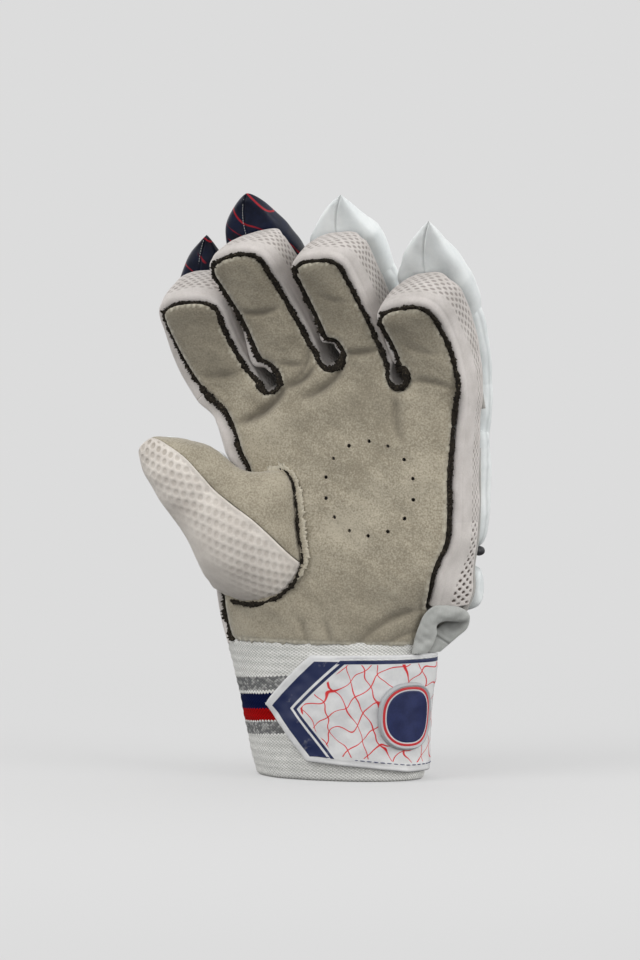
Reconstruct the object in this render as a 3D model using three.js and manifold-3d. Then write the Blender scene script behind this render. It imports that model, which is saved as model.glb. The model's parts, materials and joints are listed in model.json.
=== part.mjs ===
// A cricket batting glove for the left hand, standing on the mouth of its cuff.
// Millimetres, +Z up towards the finger ends. The palm faces -Y and the thumb points to -X.
// Each piece is a box, a ring or a ball from three.js whose points are moved to the glove's own curves.

import * as THREE from "three";
import { mergeVertices } from "three/addons/utils/BufferGeometryUtils.js";
import Module from "manifold-3d";

const wasm = await Module();
wasm.setup();

// Walls and clearances
const GAP = 0.5;
const SUEDE = 1.6;
const MESH = 1.8;
const KNIT = 2.2;
const STRAP = 2.2;
const BACKING = 2;
const BINDING_WIDE = 3;
const BINDING_DEEP = 2.2;
const PAD_DEEP = 17;
const MERGE = 1e-5;

// The fingers. Each centre line runs on the palm side from root over mid to end, where the round tip starts.
// curl is how far the end leans towards the palm side. leftFrom and rightFrom are where a finger's two edges
// begin, as shares of its centre line. shift moves its back to the right of its front. rollHalf is half the width
// of the padding on its back. The pointed tip has its own tipHalf and tipShift, tipRise is its height, tipLean
// its point's move to the right, and tipSharp and tipPower how fast it narrows.
const FINGERS = [
  { name: "index", rootX: -50, rootZ: 192, midX: -65.5, midZ: 211, endX: -68.2, endZ: 230.3, leftFrom: 0.2,
    rightFrom: 0.04, rootHalf: 14.8, endHalf: 17.2, curl: 13, shift: 2, rollHalf: 17.2,
    tipHalf: 15.9, tipShift: -1.7, tipRise: 30.8, tipLean: 9.1, tipSharp: 1.48, tipPower: 0.88 },
  { name: "middle", rootX: -17.5, rootZ: 206, midX: -29.5, midZ: 231, endX: -38.3, endZ: 253, leftFrom: 0.2,
    rightFrom: 0, rootHalf: 14, endHalf: 15.5, curl: 18, shift: 3, rollHalf: 18,
    tipHalf: 17.9, tipShift: -0.1, tipRise: 28.3, tipLean: 8.6, tipSharp: 1.47, tipPower: 0.74 },
  { name: "ring", rootX: 19.5, rootZ: 208, midX: 9.5, midZ: 233, endX: 5, endZ: 252, leftFrom: 0.33,
    rightFrom: -0.1, rootHalf: 14.3, endHalf: 14.5, curl: 18, shift: 5, rollHalf: 18.8,
    tipHalf: 18.7, tipShift: 3.9, tipRise: 26.4, tipLean: 9.3, tipSharp: 1.3, tipPower: 1.04 },
  { name: "little", rootX: 56, rootZ: 195, midX: 52.8, midZ: 214.5, endX: 48.9, endZ: 227.6, leftFrom: 0.34,
    rightFrom: 0.02, rootHalf: 15.6, endHalf: 16.4, curl: 13, shift: 6, rollHalf: 18.3,
    tipHalf: 19, tipShift: 6.4, tipRise: 41.2, tipLean: 14.2, tipSharp: 1.82, tipPower: 1.03 },
];
const CURL_POWER = 1.8;
const TIP_RISE = 11; // the round end stands this far beyond the centre line's end
const TIP_SQUARE = 2.5; // 2 is a round end, more is squarer
const ROOT_DEEP = 27; // inside of a finger stall, front to back
const END_DEEP = 20;
const FLARE = 1.1; // the back edge of a stall's wall is this much wider than the front edge
const REAR_RISE = 0.85; // and its round end is this much lower

// The round ends of the gaps between the fingers, a row for each. A gap comes down on the left, is lowest at
// low, turns and goes up again on the right to the top, where the next finger's edge begins.
const CROTCHES = [
  { leftX: -34.6, leftZ: 197.6, lowX: -31.2, lowZ: 194, turnX: -27.6, turnZ: 195.6,
    rightX: -25.6, rightZ: 200, topX: -27.4, topZ: 205.4 },
  { leftX: -4.6, leftZ: 209.6, lowX: -0.4, lowZ: 206.4, turnX: 4.8, turnZ: 207.6,
    rightX: 7.6, rightZ: 212, topX: 5.6, topZ: 217 },
  { leftX: 34, leftZ: 200, lowX: 37.2, lowZ: 196.2, turnX: 41, turnZ: 197.2,
    rightX: 42.6, rightZ: 200.4, topX: 41.2, topZ: 203.8 },
];
const CROTCH_POINTS = ["left", "low", "turn", "right", "top"];

// The hand, a row for each height: the palm's edges, and the edges of the back behind them
const HAND = [
  { z: 66, left: -55, right: 43, backLeft: -58, backRight: 47 },
  { z: 78, left: -60, right: 48, backLeft: -64, backRight: 58 },
  { z: 92, left: -60.5, right: 55, backLeft: -67, backRight: 66 },
  { z: 106, left: -60, right: 60, backLeft: -69, backRight: 68 },
  { z: 120, left: -57, right: 66, backLeft: -69, backRight: 70 },
  { z: 136, left: -49, right: 67, backLeft: -67, backRight: 71 },
  { z: 152, left: -43.5, right: 67, backLeft: -63.5, backRight: 71 },
  { z: 165, left: -50, right: 68, backLeft: -66, backRight: 71 },
  { z: 177, left: -54, right: 69, backLeft: -69, backRight: 71.5 },
  { z: 188, left: -63.5, right: 70, backLeft: -73, backRight: 72 },
];
const PALM_Y = -22;
const PALM_ROUND = 8; // the palm's edges lie this far behind its middle
const PALM_MIDDLE_X = 3;
const PALM_HALF = 66;
const BACK_Y = 9;

// The cuff, a row for each height: centre, half width and half depth
const CUFF = [
  { z: 0, x: 0, half: 42.5, deep: 27 },
  { z: 30, x: -3.2, half: 47.5, deep: 28 },
  { z: 65.4, x: -6, half: 54.6, deep: 27 },
];
const BLEND_TOP = 104; // above this height the hand no longer follows the cuff's oval

// The strap, from its point on the front round the little-finger side to the back
const STRAP_POINT = -31; // degrees from the front
const STRAP_SHOULDER = 2;
const STRAP_END = 186;
const STRAP_POINT_Z = 37.5;
const STRAP_LOW = [9.5, 3.2]; // lower edge at the shoulder and on the little-finger side
const STRAP_HIGH = [59.5, 60.5];
const BADGE = { at: 61.5, z: 33, halfArc: 14, halfHigh: 17, deep: 1.5 };

// The thumb, a ring for each row. wide lies across the thumb, deep turns from the palm's plane to face forward.
const THUMB = [
  { x: -39.5, y: -7, z: 117.5, wide: 33, deep: 27, turn: 10 },
  { x: -41, y: -15, z: 119.5, wide: 32.5, deep: 26.5, turn: 19 },
  { x: -46, y: -27, z: 126, wide: 30, deep: 23.5, turn: 50 },
  { x: -56, y: -34, z: 138, wide: 25, deep: 18.5, turn: 80 },
  { x: -69, y: -38, z: 151, wide: 19.5, deep: 16, turn: 90 },
  { x: -80, y: -40, z: 161, wide: 14, deep: 12.5, turn: 95 },
  { x: -87, y: -41, z: 165.5, wide: 8, deep: 7.5, turn: 95 },
  { x: -90, y: -41, z: 167, wide: 3, deep: 3, turn: 95 },
];
const THUMB_LINE = new THREE.Vector3(-0.74, 0, 0.67).normalize();
const THUMB_ACROSS = new THREE.Vector3(0.67, 0, 0.74).normalize();

const { lerp, smoothstep, degToRad } = THREE.MathUtils;
const V = (x, y, z) => new THREE.Vector3(x, y, z);
const UP = V(0, 0, 1);
const RIGHT = V(1, 0, 0);
const BACKWARD = V(0, 1, 0);

// Value of one column of a table at a height, smooth between the rows
function column(rows, key, z) {
  const last = rows.length - 1;
  if (z <= rows[0].z) return rows[0][key];
  if (z >= rows[last].z) return rows[last][key];
  const i = rows.findIndex((row) => row.z > z) - 1;
  const share = (z - rows[i].z) / (rows[i + 1].z - rows[i].z);
  return lerp(rows[i][key], rows[i + 1][key], share * share * (3 - 2 * share) * 0.4 + share * 0.6);
}

// Moves every point of a closed three.js geometry, and turns its faces outwards if the move mirrored them
function shaped(geometry, place) {
  geometry.deleteAttribute("normal");
  geometry.deleteAttribute("uv");
  const merged = mergeVertices(geometry, MERGE);
  const points = merged.attributes.position;
  for (let i = 0; i < points.count; i++) {
    const p = place(points.getX(i), points.getY(i), points.getZ(i));
    points.setXYZ(i, p.x, p.y, p.z);
  }
  const index = merged.index.array;
  const corner = (i) => V().fromBufferAttribute(points, index[i]);
  let volume = 0;
  for (let i = 0; i < index.length; i += 3) volume += corner(i).dot(corner(i + 1).cross(corner(i + 2)));
  if (volume < 0) for (let i = 0; i < index.length; i += 3) [index[i], index[i + 1]] = [index[i + 1], index[i]];
  return merged;
}

// A sheet: u and v run 0 to 1 over it, and w runs 0 to 1 through its thickness
const sheet = (us, vs, place) =>
  shaped(new THREE.BoxGeometry(1, 1, 1, us, vs, 1), (x, y, z) => place(x + 0.5, y + 0.5, z + 0.5));

// A pillow: along runs -1 to 1 between its ends, side and deep are -1 to 1 across it, with soft edges
const BLUNT = 0.42;
const blunt = (value, power) => Math.sign(value) * Math.abs(value) ** power;
const pillow = (around, rings, place) =>
  shaped(new THREE.SphereGeometry(1, around, rings), (x, y, z) => {
    const ring = Math.hypot(x, z) || 1;
    const full = Math.sqrt(Math.max(0, 1 - y * y)) ** BLUNT;
    return place(blunt(y, 0.8), blunt(x / ring, 0.7) * full, blunt(z / ring, 0.7) * full);
  });

function solid(geometry) {
  const mesh = { numProp: 3, vertProperties: geometry.attributes.position.array };
  return new wasm.Manifold(new wasm.Mesh({ ...mesh, triVerts: new Uint32Array(geometry.index.array) }));
}

function geometryOf(made) {
  const mesh = made.getMesh();
  const geometry = new THREE.BufferGeometry();
  geometry.setAttribute("position", new THREE.BufferAttribute(mesh.vertProperties, 3));
  return geometry.setIndex(new THREE.BufferAttribute(mesh.triVerts, 1));
}

const glove = new THREE.Group();
const COLOURS = {
  suede: [0xa39a87, 0.95],
  binding: [0x17130f, 0.95],
  mesh: [0xe9e3e0, 0.85],
  white_leather: [0xdfe3e3, 0.5],
  navy_leather: [0x10182c, 0.42],
  knit: [0xe3e1dd, 0.92],
  strap_leather: [0xe9e8e6, 0.45],
  badge_rubber: [0x14235a, 0.4],
  dark_rubber: [0x202326, 0.5],
  backing: [0xe2e1de, 0.8],
};
const materials = Object.fromEntries(
  Object.entries(COLOURS).map(([name, [color, roughness]]) => [
    name,
    new THREE.MeshStandardMaterial({ name, color, roughness, metalness: 0 }),
  ]),
);

function add(name, slot, geometry) {
  const mesh = new THREE.Mesh(geometry, materials[slot]);
  mesh.name = name;
  glove.add(mesh);
}

// Oval of the cuff at a height. angle is 0 at the front and grows towards the little-finger side.
function ovalPoint(angle, z, out) {
  const half = column(CUFF, "half", z) + out;
  const deep = column(CUFF, "deep", z) + out;
  return V(column(CUFF, "x", z) + half * Math.sin(angle), -deep * Math.cos(angle), z);
}

// Distance of the oval in front of its long axis at x, used where the hand grows out of the cuff
function ovalDepth(x, extra) {
  const top = CUFF[CUFF.length - 1];
  const share = Math.min(1, Math.abs(x - top.x) / (top.half + extra));
  return (top.deep + extra) * Math.sqrt(1 - share * share);
}

function palmY(x, z) {
  const share = Math.min(1.1, Math.abs((x - PALM_MIDDLE_X) / PALM_HALF));
  const flat = PALM_Y + PALM_ROUND * share ** 3;
  const shareUp = smoothstep(z, CUFF[CUFF.length - 1].z, BLEND_TOP);
  return lerp(-Math.max(3, ovalDepth(x, 0)), flat, shareUp);
}

function backY(x, z) {
  const shareUp = smoothstep(z, CUFF[CUFF.length - 1].z, BLEND_TOP);
  return lerp(Math.max(1, ovalDepth(x, 0) - BACKING), BACK_Y, shareUp);
}

// Frame of a finger: a point on the palm side, and the directions along, across and towards the back
const lines = FINGERS.map(
  (f) =>
    new THREE.QuadraticBezierCurve3(
      V(f.rootX, 0, f.rootZ), V(f.midX, 0, f.midZ), V(f.endX, 0, f.endZ)),
);

function fingerFrame(i, along) {
  const finger = FINGERS[i];
  const rootY = palmY(finger.rootX, finger.rootZ);
  const curved = (t) => {
    const p = lines[i].getPoint(t);
    return p.setY(rootY - finger.curl * t ** CURL_POWER);
  };
  const inside = THREE.MathUtils.clamp(along, 0, 1);
  const step = 0.01;
  const before = Math.max(0, inside - step);
  const after = Math.min(1, inside + step);
  const forward = curved(after).sub(curved(before)).normalize();
  if (inside === 0) forward.setY(0).normalize();
  const origin = curved(inside).addScaledVector(forward, (along - inside) * lines[i].getLength());
  const across = RIGHT.clone().addScaledVector(forward, -RIGHT.dot(forward)).normalize();
  return { origin, forward, across, back: forward.clone().cross(across).normalize() };
}

function fingerPoint(i, along, side, deep, beyond = 0) {
  const f = fingerFrame(i, along);
  return f.origin.addScaledVector(f.across, side).addScaledVector(f.back, deep).addScaledVector(f.forward, beyond);
}

const halfOf = (finger, along) => lerp(finger.rootHalf, finger.endHalf, THREE.MathUtils.clamp(along, 0, 1));
const deepOf = (along) => lerp(ROOT_DEEP, END_DEEP, THREE.MathUtils.clamp(along, 0, 1));

// The outline of the palm leather as stations: front lies on the palm side, rear where the wall meets the back
const SIDE_STEPS = 5;
const TIP_STEPS = 8;
const HAND_STEPS = 8;

function fingerStations(i) {
  const finger = FINGERS[i];
  const made = [];
  const put = (along, side, beyond) => {
    const shift = finger.shift * THREE.MathUtils.clamp(along, 0, 1);
    made.push({
      front: fingerPoint(i, along, side, 0, beyond),
      rear: fingerPoint(i, along, side * FLARE + shift, deepOf(along), beyond * REAR_RISE),
    });
  };
  for (let k = 0; k < SIDE_STEPS; k++) {
    const along = lerp(finger.leftFrom, 1, k / SIDE_STEPS);
    put(along, -halfOf(finger, along), 0);
  }
  for (let k = 0; k <= TIP_STEPS; k++) {
    const angle = Math.PI * (k / TIP_STEPS);
    const side = -blunt(Math.cos(angle), 2 / TIP_SQUARE) * finger.endHalf;
    put(1, side, Math.sin(angle) ** (2 / TIP_SQUARE) * TIP_RISE);
  }
  for (let k = SIDE_STEPS - 1; k >= 0; k--) {
    const along = lerp(finger.rightFrom, 1, k / SIDE_STEPS);
    put(along, halfOf(finger, along), 0);
  }
  return made;
}

// A gap's wall leans so that it is narrower at the back of the hand, where the padding sits
const CROTCH_DEEP = 24;
function crotchStations(from, to, crotch) {
  const middle = from.rear.clone().add(to.rear).multiplyScalar(0.5);
  return CROTCH_POINTS.map((point) => {
    const x = crotch[point + "X"];
    const z = crotch[point + "Z"];
    return {
      front: V(x, palmY(x, z), z),
      rear: V(lerp(x, middle.x, 0.45), palmY(x, z) + CROTCH_DEEP, z + 2),
    };
  });
}

const VENT_TOP = 88; // the wrist's slit on the little-finger side reaches this height
function handStations(side) {
  const made = [];
  const [front, rear] = side < 0 ? ["left", "backLeft"] : ["right", "backRight"];
  const bottom = side < 0 ? HAND[0].z + GAP : VENT_TOP;
  const top = HAND[HAND.length - 1].z;
  for (let k = 0; k <= HAND_STEPS; k++) {
    const z = lerp(bottom, top, k / HAND_STEPS);
    const x = column(HAND, front, z);
    const rearX = column(HAND, rear, z);
    made.push({ front: V(x, palmY(x, z), z), rear: V(rearX, backY(rearX, z), z) });
  }
  return made;
}

const fingerWalls = FINGERS.map((_, i) => fingerStations(i));
const crotchWalls = CROTCHES.map((crotch, i) =>
  crotchStations(fingerWalls[i].at(-1), fingerWalls[i + 1][0], crotch),
);
const leftWall = handStations(-1);
const rightWall = handStations(1).reverse();

// Normal of the outline at each station, pointing out of the hand
function normals(stations) {
  return stations.map((station, k) => {
    const before = stations[Math.max(0, k - 1)].front;
    const after = stations[Math.min(stations.length - 1, k + 1)].front;
    const back = station.rear.clone().sub(station.front).normalize();
    return after.clone().sub(before).cross(back).normalize();
  });
}

const outline = [leftWall.slice(0, -1)];
FINGERS.forEach((_, i) => {
  outline.push(fingerWalls[i]);
  outline.push(i < 3 ? crotchWalls[i] : rightWall.slice(1));
});
const stations = outline.flat();
const outwards = normals(stations);

// Station at a place between two of them, for the ends of neighbouring walls that stand a gap apart
function stationAt(place) {
  const k = Math.min(stations.length - 2, Math.floor(place));
  const [near, far] = [stations[k], stations[k + 1]];
  return {
    front: near.front.clone().lerp(far.front, place - k),
    rear: near.rear.clone().lerp(far.rear, place - k),
    outward: outwards[k].clone().lerp(outwards[k + 1], place - k).normalize(),
  };
}

// A mesh wall along a run of stations, from front to rear, bulging a little outwards
const WALL_BULGE = 1;
function wall(from, to) {
  const step = (k) => stations[k].front.distanceTo(stations[k + 1].front);
  const start = from === 0 ? 0 : GAP / 2 / step(from);
  const end = to === stations.length - 1 ? 0 : GAP / 2 / step(to - 1);
  return sheet(to - from, 2, (u, v, w) => {
    const place = THREE.MathUtils.clamp(Math.round(lerp(from, to, u)), from + start, to - end);
    const { front, rear, outward } = stationAt(place);
    const inset = GAP / front.distanceTo(rear);
    const p = front.lerp(rear, lerp(inset, 1 - inset, v));
    return p.addScaledVector(outward, MESH * (w - 1) + WALL_BULGE * Math.sin(Math.PI * v));
  });
}

// The walls meet in the middle of each gap between fingers, and at the index finger's root
const wallEnds = [0, leftWall.length - 1];
let passed = leftWall.length - 1;
FINGERS.forEach((_, i) => {
  passed += fingerWalls[i].length;
  wallEnds.push(i < 3 ? passed + 2 : passed - 1);
  if (i < 3) passed += crotchWalls[i].length;
});
wallEnds.push(stations.length - 1);
const wallNames = ["thumb_side_mesh", ...FINGERS.map((f) => f.name + "_gusset"), "little_side_mesh"];
const walls = wallNames.map((name, i) => ({ name, geometry: wall(wallEnds[i], wallEnds[i + 1]) }));

// The dark binding lies on the palm side of the outline, in front of the walls. Behind the thumb there is none.
const BINDING_INSET = 1.3;
const strip = (from, to, near, far, deepFrom, deepTo) =>
  sheet(to - from, 1, (u, v, w) => {
    const { front, rear, outward } = stationAt(Math.round(lerp(from, to, u)));
    const back = rear.sub(front).normalize();
    return front.addScaledVector(outward, lerp(near, far, v)).addScaledVector(back, lerp(deepFrom, deepTo, w));
  });
const BINDING_LOW = 1; // the binding's lower piece ends at this station
const BINDING_HIGH = 7; // and the long one begins here
const last = stations.length - 1;
const bindingStrip = (from, to) =>
  strip(from, to, -BINDING_INSET, -BINDING_INSET - BINDING_WIDE, -BINDING_DEEP, 0);
add("wrist_binding", "binding", bindingStrip(0, BINDING_LOW));
add("edge_binding", "binding", bindingStrip(BINDING_HIGH, last));

// The palm leather: one sheet for the hand joined to four finger fronts. It is made a little large, then
// trimmed along the binding and round the thumb.
const PALM_INSET = BINDING_WIDE + BINDING_INSET + 2 * GAP;
const PALM_EXTRA = 1;
const FINGER_BULGE = 2.5;
const topPoints = [V(column(HAND, "left", 188) + PALM_EXTRA, 0, 188)];
FINGERS.forEach((f, i) => {
  topPoints.push(V(f.rootX, 0, f.rootZ + 2));
  if (i < 3) topPoints.push(V(CROTCHES[i].lowX, 0, CROTCHES[i].lowZ - PALM_EXTRA));
});
topPoints.push(V(column(HAND, "right", 188) - PALM_EXTRA, 0, 194));
const palmTop = new THREE.CatmullRomCurve3(topPoints, false, "centripetal");

function palmHand() {
  return sheet(8, 9, (u, v, w) => {
    const top = palmTop.getPoint(u);
    const z = lerp(HAND[0].z + GAP, top.z, v);
    const left = column(HAND, "left", z) + PALM_EXTRA;
    const right = column(HAND, "right", z) - PALM_EXTRA;
    const x = lerp(lerp(left, right, u), top.x, smoothstep(v, 0.6, 1));
    return V(x, palmY(x, z) + SUEDE * (w - 1), z);
  });
}

function palmFinger(i) {
  const finger = FINGERS[i];
  const from = Math.min(finger.leftFrom, finger.rightFrom, 0) - 0.22;
  const tipFrom = 0.55;
  return sheet(4, 7, (u, v, w) => {
    const across = 2 * u - 1;
    const along = lerp(from, 1, Math.min(1, v / tipFrom));
    const angle = Math.max(0, (v - tipFrom) / (1 - tipFrom)) * 0.47 * Math.PI;
    const half = (halfOf(finger, along) - PALM_EXTRA) * Math.cos(angle) ** (2 / TIP_SQUARE);
    const beyond = Math.sin(angle) ** (2 / TIP_SQUARE) * (TIP_RISE - PALM_EXTRA);
    const sunk = 0.8 * (1 - smoothstep(along, from, 0.1));
    const bulge = FINGER_BULGE * (1 - across * across) * smoothstep(along, from, 0.4) * Math.cos(angle);
    return fingerPoint(i, along, across * half, sunk - bulge + SUEDE * (w - 1), beyond);
  });
}

// Rings of the thumb, smooth between the rows. round is an angle round the thumb, 90 degrees at the front.
function thumbPoint(along, round, out) {
  const at = along * (THUMB.length - 1);
  const i = Math.min(THUMB.length - 2, Math.floor(at));
  const near = THUMB[i];
  const far = THUMB[i + 1];
  const value = (key) => lerp(near[key], far[key], at - i);
  const turn = degToRad(value("turn"));
  const deep = THUMB_LINE.clone().multiplyScalar(-Math.cos(turn)).addScaledVector(BACKWARD, -Math.sin(turn));
  return V(value("x"), value("y"), value("z"))
    .addScaledVector(THUMB_ACROSS, (value("wide") + out) * Math.cos(round))
    .addScaledVector(deep, (value("deep") + out) * Math.sin(round));
}

const THUMB_FORWARD = V(-0.44, -0.55, 0.71).normalize();
const THUMB_ROOM_BACK = 8;
const SEAM_BASE = 76; // the seam between suede and mesh, at the palm and at the tip
const SEAM_TIP = 30;
const BACK_SEAM = 215;
const REAR_SEAM = 305;

function thumbSector(steps, fromBase, toBase, fromTip, toTip) {
  const gap = 2;
  return sheet(steps, 10, (u, v, w) => {
    const from = lerp(fromBase + gap, fromTip + gap, v);
    const to = lerp(toBase - gap, toTip - gap, v);
    return thumbPoint(v, degToRad(lerp(from, to, u)), SUEDE * (w - 1));
  });
}
add("thumb_palm", "suede", thumbSector(8, REAR_SEAM - 360, SEAM_BASE, REAR_SEAM - 360, SEAM_TIP));
add("thumb_mesh", "mesh", thumbSector(8, SEAM_BASE, BACK_SEAM, SEAM_TIP, BACK_SEAM));
add("thumb_shell", "white_leather", thumbSector(4, BACK_SEAM, REAR_SEAM, BACK_SEAM, REAR_SEAM));

// Where the thumb comes out of the palm leather, and the dark binding that lies on the leather round it
function thumbBase(round) {
  const steps = 60;
  for (let k = 0; k < steps; k++) {
    const p = thumbPoint(k / steps / 2, round, 0);
    if (p.y < palmY(p.x, p.z) - SUEDE) return p;
  }
  return thumbPoint(0, round, 0);
}
const BINDING_FROM = -8;
const BINDING_TO = 174;
const THUMB_CENTRE = V(THUMB[0].x, THUMB[0].y, THUMB[0].z);
add("thumb_binding", "binding", sheet(20, 1, (u, v, w) => {
  const p = thumbBase(degToRad(lerp(BINDING_FROM, BINDING_TO, u)));
  const away = p.clone().sub(THUMB_CENTRE).setY(0).normalize();
  p.addScaledVector(away, 1.2 + 2.4 * v);
  return p.setY(palmY(p.x, p.z) - SUEDE - GAP - 1.6 * w);
}));

// Two pads on the thumb's back
const THUMB_PADS = [
  { name: "thumb_back_pad", from: 0.46, to: 0.66, deep: 9 },
  { name: "thumb_tip_pad", from: 0.68, to: 0.94, deep: 8 },
];
const PAD_MIDDLE = 262;
const PAD_REACH = 40;
for (const pad of THUMB_PADS)
  add(pad.name, "white_leather", pillow(10, 8, (along, side, deep) => {
    const at = lerp(pad.from, pad.to, (along + 1) / 2);
    return thumbPoint(at, degToRad(PAD_MIDDLE + PAD_REACH * side), 2.4 + pad.deep * (deep + 1) / 2);
  }));

// A solid as large as the thumb and a little more, taken out of the leather and the wall it grows from
const thumbRoom = (out) =>
  solid(shaped(new THREE.CylinderGeometry(1, 1, 1, 32, 6), (x, y, z) => {
    const along = y + 0.5;
    const centre = thumbPoint(along, 0, 0).lerp(thumbPoint(along, Math.PI, 0), 0.5);
    const p = centre.lerp(thumbPoint(along, Math.atan2(z, x), out), Math.hypot(x, z));
    return p.addScaledVector(THUMB_FORWARD, along === 0 ? -THUMB_ROOM_BACK : 0);
  }));
const largest = (made) => made.decompose().reduce((a, b) => (a.volume() > b.volume() ? a : b));
const room = thumbRoom(GAP + 0.6);
const wideRoom = thumbRoom(4);

// The leather's flat pattern: inside the binding, with the air holes left out. They lie on a ring in the
// palm's middle that reaches further down than up and has rather square shoulders.
const AIR_RING = { x: 25.4, z: 149, half: 24, up: 20, down: 27, count: 14, square: 0.8 };
const AIR_HOLE = 0.8;
function airHole(k) {
  const angle = Math.PI * 2 * (k / AIR_RING.count) - Math.PI / 2;
  const up = blunt(Math.sin(angle), AIR_RING.square);
  const high = up > 0 ? AIR_RING.up : AIR_RING.down;
  return [AIR_RING.x + AIR_RING.half * blunt(Math.cos(angle), AIR_RING.square), AIR_RING.z + high * up];
}
const airHoles = Array.from({ length: AIR_RING.count }, (_, k) => airHole(k));
function palmPattern() {
  const low = HAND[0].z;
  const edge = stations.map(({ front }) => [front.x, front.z]);
  edge.push([column(HAND, "right", low), low], [column(HAND, "right", low), low - PALM_WIDE]);
  edge.push([column(HAND, "left", low), low - PALM_WIDE]);
  const pattern = new wasm.CrossSection([edge.reverse()]).offset(-PALM_INSET, "Miter");
  return airHoles.reduce(
    (left, hole) => left.subtract(wasm.CrossSection.circle(AIR_HOLE, 8).translate(hole)), pattern);
}

const PALM_WIDE = 160;
function palmPanel() {
  const parts = [palmHand(), ...FINGERS.map((_, i) => palmFinger(i))].map(solid);
  const block = palmPattern().extrude(PALM_WIDE, 0, 0, [1, 1], true).rotate([90, 0, 0]);
  return geometryOf(largest(parts.reduce((a, b) => a.add(b)).intersect(block).subtract(room)));
}
add("palm_panel", "suede", palmPanel());
for (const { name, geometry } of walls)
  add(name, "mesh", name === "thumb_side_mesh" ? geometryOf(largest(solid(geometry).subtract(wideRoom))) : geometry);

// The back of the hand: a backing sheet, and pads sewn on it
const BACK_TOP = 166;
const BACK_ARCH = 12;
add("back_panel", "backing", sheet(8, 7, (u, v, w) => {
  const z = lerp(HAND[0].z + GAP, BACK_TOP + BACK_ARCH * Math.sin(Math.PI * u), v);
  const x = lerp(column(HAND, "backLeft", z) + GAP, column(HAND, "backRight", z) - GAP, u);
  return V(x, backY(x, z) + 2 * GAP + BACKING * w, z);
}));

const HAND_PADS = [
  { name: "index_hand_pad", x: -51, half: 16.5, high: 160 },
  { name: "middle_hand_pad", x: -17, half: 16.5, high: 168 },
  { name: "ring_hand_pad", x: 18, half: 17.5, high: 170 },
  { name: "little_hand_pad", x: 54, half: 17.8, high: 165 },
];
const HAND_PAD_LOW = 115;
const PAD_FRONT = BACK_Y + BACKING + 3 * GAP;
for (const pad of HAND_PADS)
  add(pad.name, "white_leather", pillow(12, 10, (along, side, deep) =>
    V(pad.x + pad.half * side, PAD_FRONT + PAD_DEEP * (deep + 1) / 2,
      lerp(HAND_PAD_LOW, pad.high, (along + 1) / 2))));

const WRIST_PAD = { left: -62, right: 70, low: 84, high: 113, fall: 12 };
add("wrist_pad", "white_leather", pillow(10, 16, (along, side, deep) => {
  const x = lerp(WRIST_PAD.left, WRIST_PAD.right, (along + 1) / 2);
  const high = WRIST_PAD.high - WRIST_PAD.fall * smoothstep(x, 40, 68);
  const z = lerp(WRIST_PAD.low, high, (side + 1) / 2);
  const front = Math.max(backY(x, z), BACK_Y) + BACKING + 4 * GAP;
  return V(x, front + (PAD_DEEP - 3) * (deep + 1) / 2, z);
}));

const STUD = { x: 67.3, y: 17, z: 114.2, half: 3.2, deep: 4.3, high: 2.5 };
add("side_stud", "dark_rubber", shaped(new THREE.SphereGeometry(1, 10, 6), (x, y, z) =>
  V(STUD.x + STUD.half * x, STUD.y + STUD.deep * z, STUD.z + STUD.high * y)));

// Rolls on the back of each finger: one over the knuckle, one over the middle, and the pointed tip
const ROLLS = [
  { name: "knuckle_roll", from: -0.72, to: -0.02 },
  { name: "middle_roll", from: 0.03, to: 0.55 },
];
const ROLL_GAP = 2.2; // how far the roll's front face stays behind the stall's wall
function rollPoint(i, along, side, deep, beyond = 0, endHalf = FINGERS[i].rollHalf, endShift = FINGERS[i].shift) {
  const grown = THREE.MathUtils.clamp(along, 0, 1);
  const half = lerp(16.8, endHalf, grown);
  const shift = endShift * grown;
  const front = deepOf(along) + ROLL_GAP + (1 - grown) * 3;
  if (along >= 0) return fingerPoint(i, along, shift + half * side, front + PAD_DEEP * (deep + 1) / 2, beyond);
  // Below the root the roll turns straight down the back of the hand
  const root = fingerPoint(i, 0, 0, front);
  const pad = HAND_PADS[i];
  const drop = -along;
  const tilt = fingerFrame(i, 0).forward;
  const straight = smoothstep(drop, 0, 0.3);
  const across = fingerFrame(i, 0).across.lerp(RIGHT, straight).normalize();
  const down = tilt.negate().lerp(UP.clone().negate(), straight).normalize();
  const length = lines[i].getLength();
  const target = lerp(root.x, pad.x, smoothstep(drop, 0, 0.7));
  const p = root.clone().addScaledVector(down, drop * length).setX(target);
  return p.addScaledVector(across, half * side).setY(
    Math.max(root.y, PAD_FRONT) + PAD_DEEP * (deep + 1) / 2);
}

// A strip of backing behind each finger, under the rolls
const BACKING_FROM = -0.36;
const BACKING_TO = 1.05;
FINGERS.forEach((finger, i) => add(finger.name + "_backing", "backing", sheet(3, 7, (u, v, w) => {
  const along = lerp(BACKING_FROM, BACKING_TO, v);
  const side = (2 * u - 1) * (halfOf(finger, along) * FLARE - 1.5);
  const shift = finger.shift * THREE.MathUtils.clamp(along, 0, 1);
  return fingerPoint(i, along, side + shift, deepOf(along) + GAP + BACKING * 0.6 * w);
})));

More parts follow.
